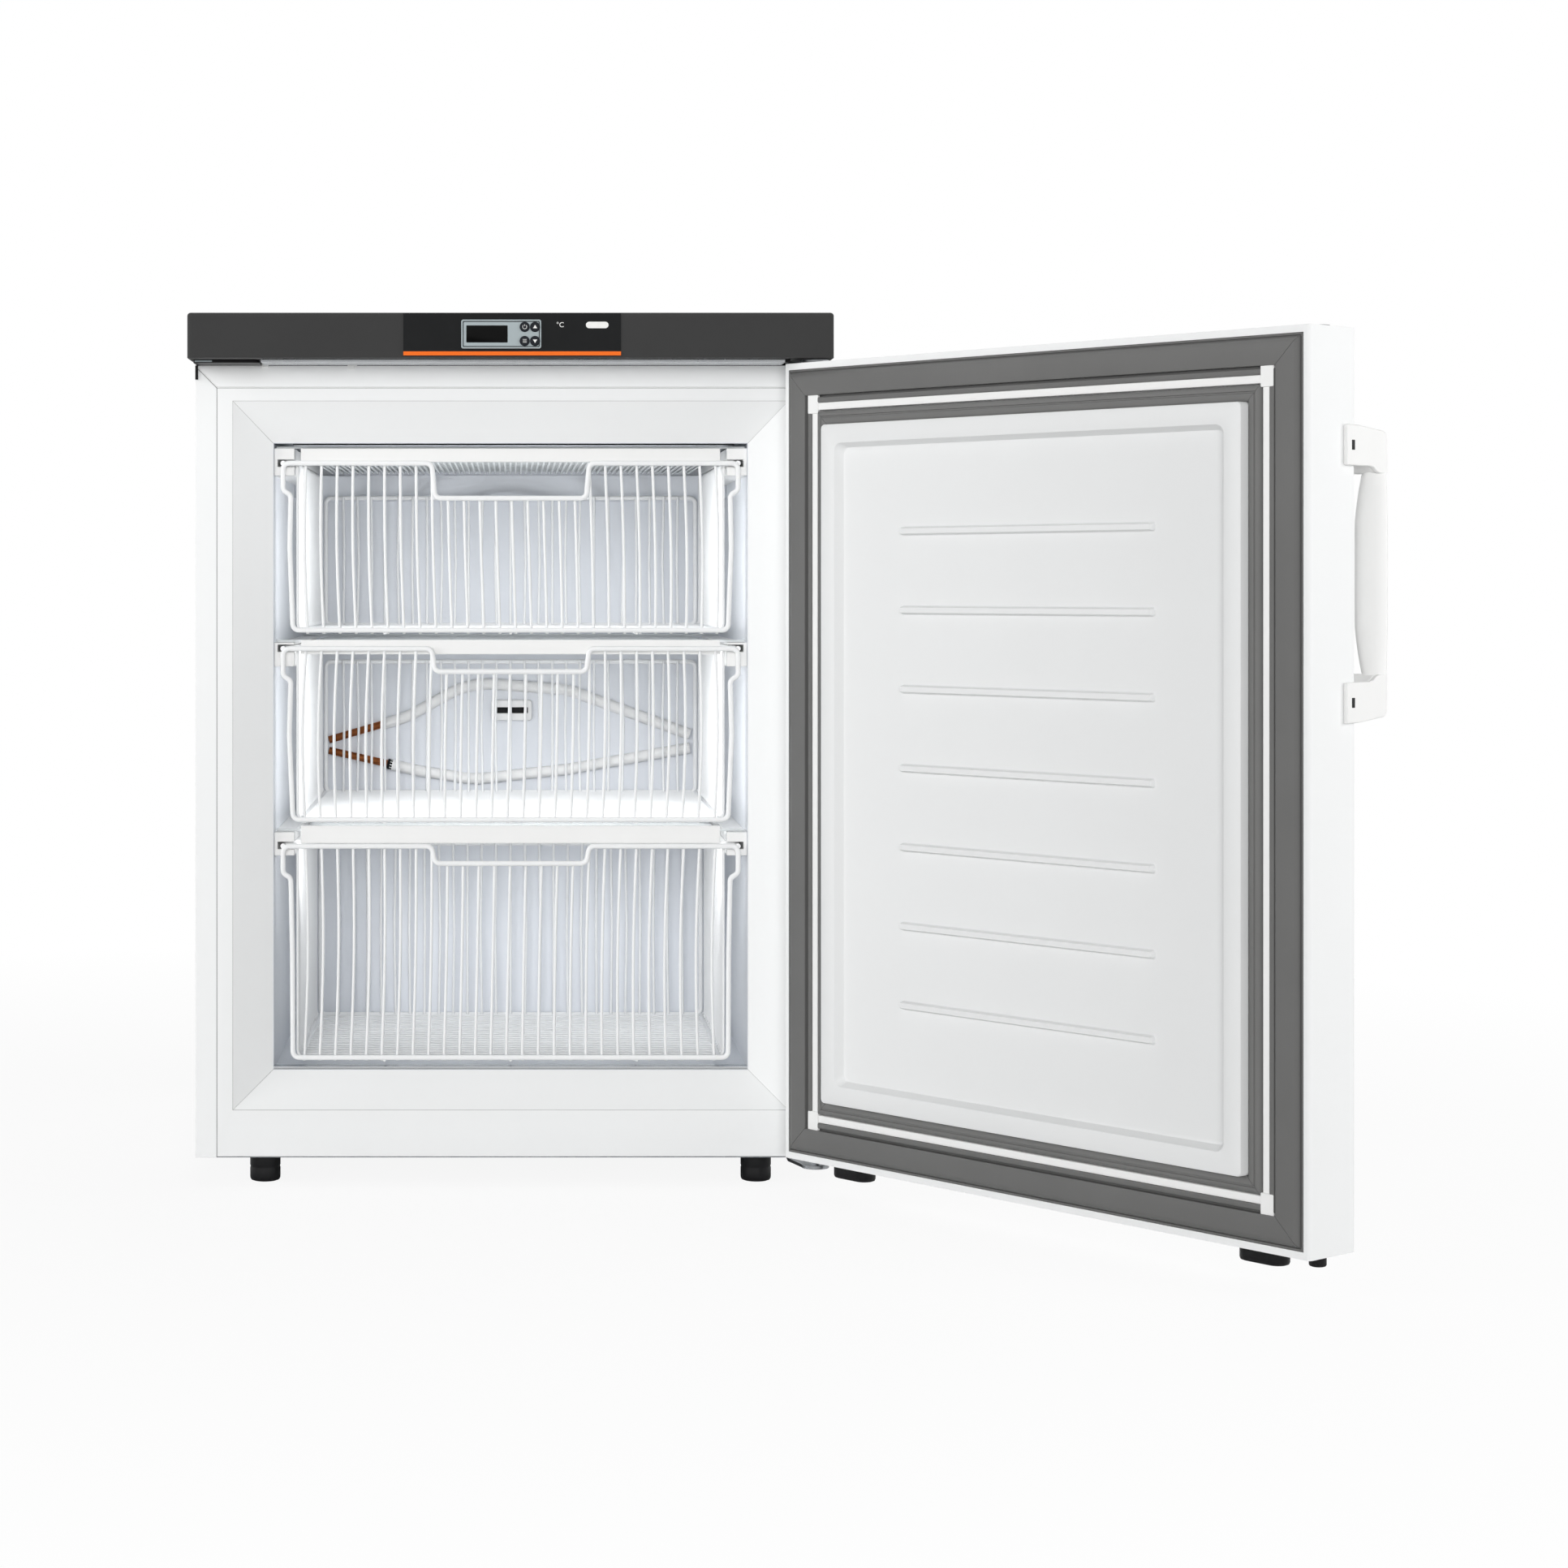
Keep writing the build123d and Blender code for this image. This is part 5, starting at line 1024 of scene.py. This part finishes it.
# ---- Cooling circuit at the back
def condenser():
    """Wire-on-tube condenser held off the back by two strips."""
    low, high = reach("condenser")
    panel = reach("rear_panel")[1].y
    tube, passes = 2.5, 12
    y = panel + 14.0
    bottom, top = low.z + 12, high.z - 12
    half = high.x - 2.5
    step = (top - bottom) / (passes - 1)
    corners = []
    for i in range(passes):
        ends = (half, -half) if i % 2 == 0 else (-half, half)
        corners += [(x, y, bottom + i * step) for x in ends]
    wires("condenser_tube", [bent(corners, step / 2 - 0.1, 8)], tube, black_enamel, CABINET,
          "condenser_black", "condenser", sides=3)
    rows = []
    for i in range(45):
        x = -202 + i * 404 / 44
        for side in (-1, 1):
            rows.append([(x, y + side * (tube + 0.8), low.z + 1), (x, y + side * (tube + 0.8), high.z - 1)])
    wires("condenser_wires", rows, 0.8, black_enamel, CABINET, "condenser_black", sides=1)
    for hand in (-1, 1):
        x = hand * 214.0
        block("condenser_strip_%s" % ("left" if hand < 0 else "right"), (x - 1, panel, low.z),
              (x + 1, y + 5, high.z), 0.3, black_enamel, CABINET, "condenser_black")


condenser()

POT_X, POT_Y, POT_RADIUS, POT_HEIGHT = 130.0, 198.0, 68.0, 165.0
POT_BOTTOM = 26.0 + 2.0 + 14.0 + 2.5


def compressor():
    """Welded pot on a plate, with a seam, stubs and a domed top."""
    profile = [(40, 0), (54, 2), (63, 8), (67, 18), (68, 26), (68, 70), (70, 71), (72, 72.5), (72, 79.5),
               (70, 81), (67.6, 82), (66.6, 112), (64, 128), (58.5, 142), (49, 153), (36, 160.5),
               (20, 164), (6, 165)]
    turned("compressor_pot", (POT_X, POT_Y, POT_BOTTOM), profile, black_enamel, CABINET, "compressor_black",
           "compressor", steps=72)
    plate = seat(Vector((POT_X, POT_Y, POT_BOTTOM - 2.5)), RIGHT, BACK, UP)
    layers = [(ring(172, 112, 9), 0), (ring(172, 112, 9), 2), (ring(171, 111, 8.6), 2.5)]
    stacked("compressor_plate", plate, layers, black_enamel, CABINET, "compressor_black")
    for x in (-75, 75):
        for y in (-45, 45):
            turned("mount_bolt_%d_%d" % (x + 100, y + 100), (POT_X + x, POT_Y + y, POT_BOTTOM),
                   [(6, 0), (6, 1), (4.4, 1), (4.4, 5), (3.6, 5.6)], zinc_plate, CABINET, "zinc_steel",
                   steps=24)
    turned("process_stub", (POT_X - 20, POT_Y + 40, POT_BOTTOM + 145), [(3, 0), (3, 22), (2.2, 30), (1, 34)],
           copper_tube, CABINET, "copper", steps=20)


compressor()


def pipes():
    """Copper pipes of the circuit, with the drier between them."""
    panel = reach("rear_panel")[1].y
    condenser_y, riser, drier_z = panel + 14.0, 252.0, 252.0
    bottom, top = 300.0, 720.0
    bay_front = 119.0
    routes = [
        [(POT_X + POT_RADIUS - 2, POT_Y, POT_BOTTOM + 40), (riser, POT_Y, POT_BOTTOM + 40),
         (riser, condenser_y, POT_BOTTOM + 40), (riser, condenser_y, bottom), (227, condenser_y, bottom)],
        [(227, condenser_y, top), (riser, condenser_y, top), (riser, condenser_y, drier_z),
         (-65, condenser_y, drier_z)],
        [(POT_X, POT_Y, POT_BOTTOM + POT_HEIGHT - 2), (POT_X, POT_Y, drier_z), (POT_X, bay_front, drier_z)],
    ]
    wires("copper_pipes", [bent(route, 14, 8) for route in routes], 3, copper_tube, CABINET, "copper",
          "cooling_pipes", sides=3)
    turned("filter_drier", (-175, condenser_y, drier_z),
           [(3.2, 0), (3.2, 6), (6, 12), (9, 18), (9, 92), (6, 98), (3.2, 104), (3.2, 110)], copper_tube,
           CABINET, "copper", axis=RIGHT, steps=32)


pipes()


def inlet_pins():
    """Three blades in the mouth of the mains inlet."""
    low, high = reach("mains_inlet")
    x, z = (low.x + high.x) / 2, 66.0
    for number, (dx, dz) in enumerate(((-7, -2), (7, -2), (0, 4))):
        block("inlet_pin_%d" % number, (x + dx - 1, high.y - 17, z + dz - 3),
              (x + dx + 1, high.y - 1.5, z + dz + 3), 0.4, zinc_plate, CABINET, "zinc_steel")


# ---- Floor, light and camera
CAMERA_BACK, CAMERA_HEIGHT = 3031.0, 566.5


def studio():
    """Pale floor that keeps the object's shadow, with a white surround."""
    data = bpy.data.meshes.new("studio_floor")
    size = 12.0
    corners = [(-size, -size, 0), (size, -size, 0), (size, size, 0), (-size, size, 0)]
    data.from_pydata(corners, [], [(0, 1, 2, 3)])
    floor = bpy.data.objects.new("studio_floor", data)
    bpy.context.scene.collection.objects.link(floor)
    made = bpy.data.materials.new("studio_white")
    made.use_nodes = True
    tree = made.node_tree
    tree.nodes.clear()
    path = add(tree, "LightPath")
    place = add(tree, "TexCoord").outputs["Object"]
    away = add(tree, "VectorMath", operation="LENGTH", Vector=place).outputs["Value"]
    fade = add(tree, "MapRange", Value=away, From_Min=0.4, From_Max=1.8, To_Min=0.9, To_Max=1.0)
    seen = add(
        tree, "Math", operation="MULTIPLY", Value=path.outputs["Is Camera Ray"],
        Value_001=fade.outputs["Result"],
    )
    matt = add(tree, "BsdfDiffuse", Color=linear("#F4F4F4"))
    glow = add(tree, "Emission", Color=(1, 1, 1, 1), Strength=1.0)
    blend = add(tree, "MixShader", Fac=seen.outputs["Value"])
    tree.links.new(matt.outputs["BSDF"], blend.inputs[1])
    tree.links.new(glow.outputs["Emission"], blend.inputs[2])
    add(tree, "OutputMaterial", Surface=blend.outputs["Shader"])
    data.materials.append(made)

    world = bpy.data.worlds.new("studio_world")
    bpy.context.scene.world = world
    world.use_nodes = True
    tree = world.node_tree
    tree.nodes.clear()
    path = add(tree, "LightPath")
    seen = add(tree, "Math", operation="MAXIMUM", Value=path.outputs["Is Camera Ray"],
               Value_001=path.outputs["Is Glossy Ray"])
    strength = add(tree, "MapRange", Value=seen.outputs["Value"], To_Min=0.1, To_Max=1.0)
    sky = add(tree, "Background", Color=(1, 1, 1, 1), Strength=strength.outputs["Result"])
    add(tree, "OutputWorld", Surface=sky.outputs["Background"])


def lamp(name, place, aim, size, power):
    data = bpy.data.lights.new(name, "AREA")
    data.size = size
    data.energy = power
    thing = bpy.data.objects.new(name, data)
    thing.location = place
    thing.rotation_euler = (Vector(aim) - Vector(place)).to_track_quat("-Z", "Y").to_euler()
    thing.visible_camera = False
    thing.visible_glossy = False
    bpy.context.scene.collection.objects.link(thing)


def front_sun(strength, aim):
    """Broad even light from the front, which reaches the back of the cavity."""
    data = bpy.data.lights.new("front_light", "SUN")
    data.energy = strength
    data.angle = radians(30)
    thing = bpy.data.objects.new("front_light", data)
    thing.rotation_euler = Vector(aim).to_track_quat("-Z", "Y").to_euler()
    thing.visible_glossy = False
    bpy.context.scene.collection.objects.link(thing)


studio()
front_sun(2.02, (0.1, 1.0, -0.12))
lamp("left_softbox", (-3.4, -1.8, 1.6), (0.3, -0.3, 0.4), 2.0, 60)
lamp("right_softbox", (3.6, -1.6, 1.4), (0.6, -0.6, 0.4), 2.0, 52)
# Fills the cavity from its mouth, so its back is as pale as the front
lamp("mouth_light", (0, -0.24, 0.47), (0, 0.2, 0.47), 0.4, 1.25)
lamp("back_softbox", (0.5, 3.0, 2.2), (0, 0, 0.4), 2.0, 30)

view = bpy.data.cameras.new("photo_camera")
view.lens = 73.6
view.sensor_width = 36.0
view.shift_x = 0.1744
view.shift_y = -0.1263
camera = bpy.data.objects.new("photo_camera", view)
camera.location = Vector((0, CASE_FRONT - CAMERA_BACK, CAMERA_HEIGHT)) * MM
camera.rotation_euler = (pi / 2, 0, 0)
bpy.context.scene.collection.objects.link(camera)
bpy.context.scene.camera = camera
bpy.context.scene.view_settings.view_transform = "Standard"

inlet_pins()
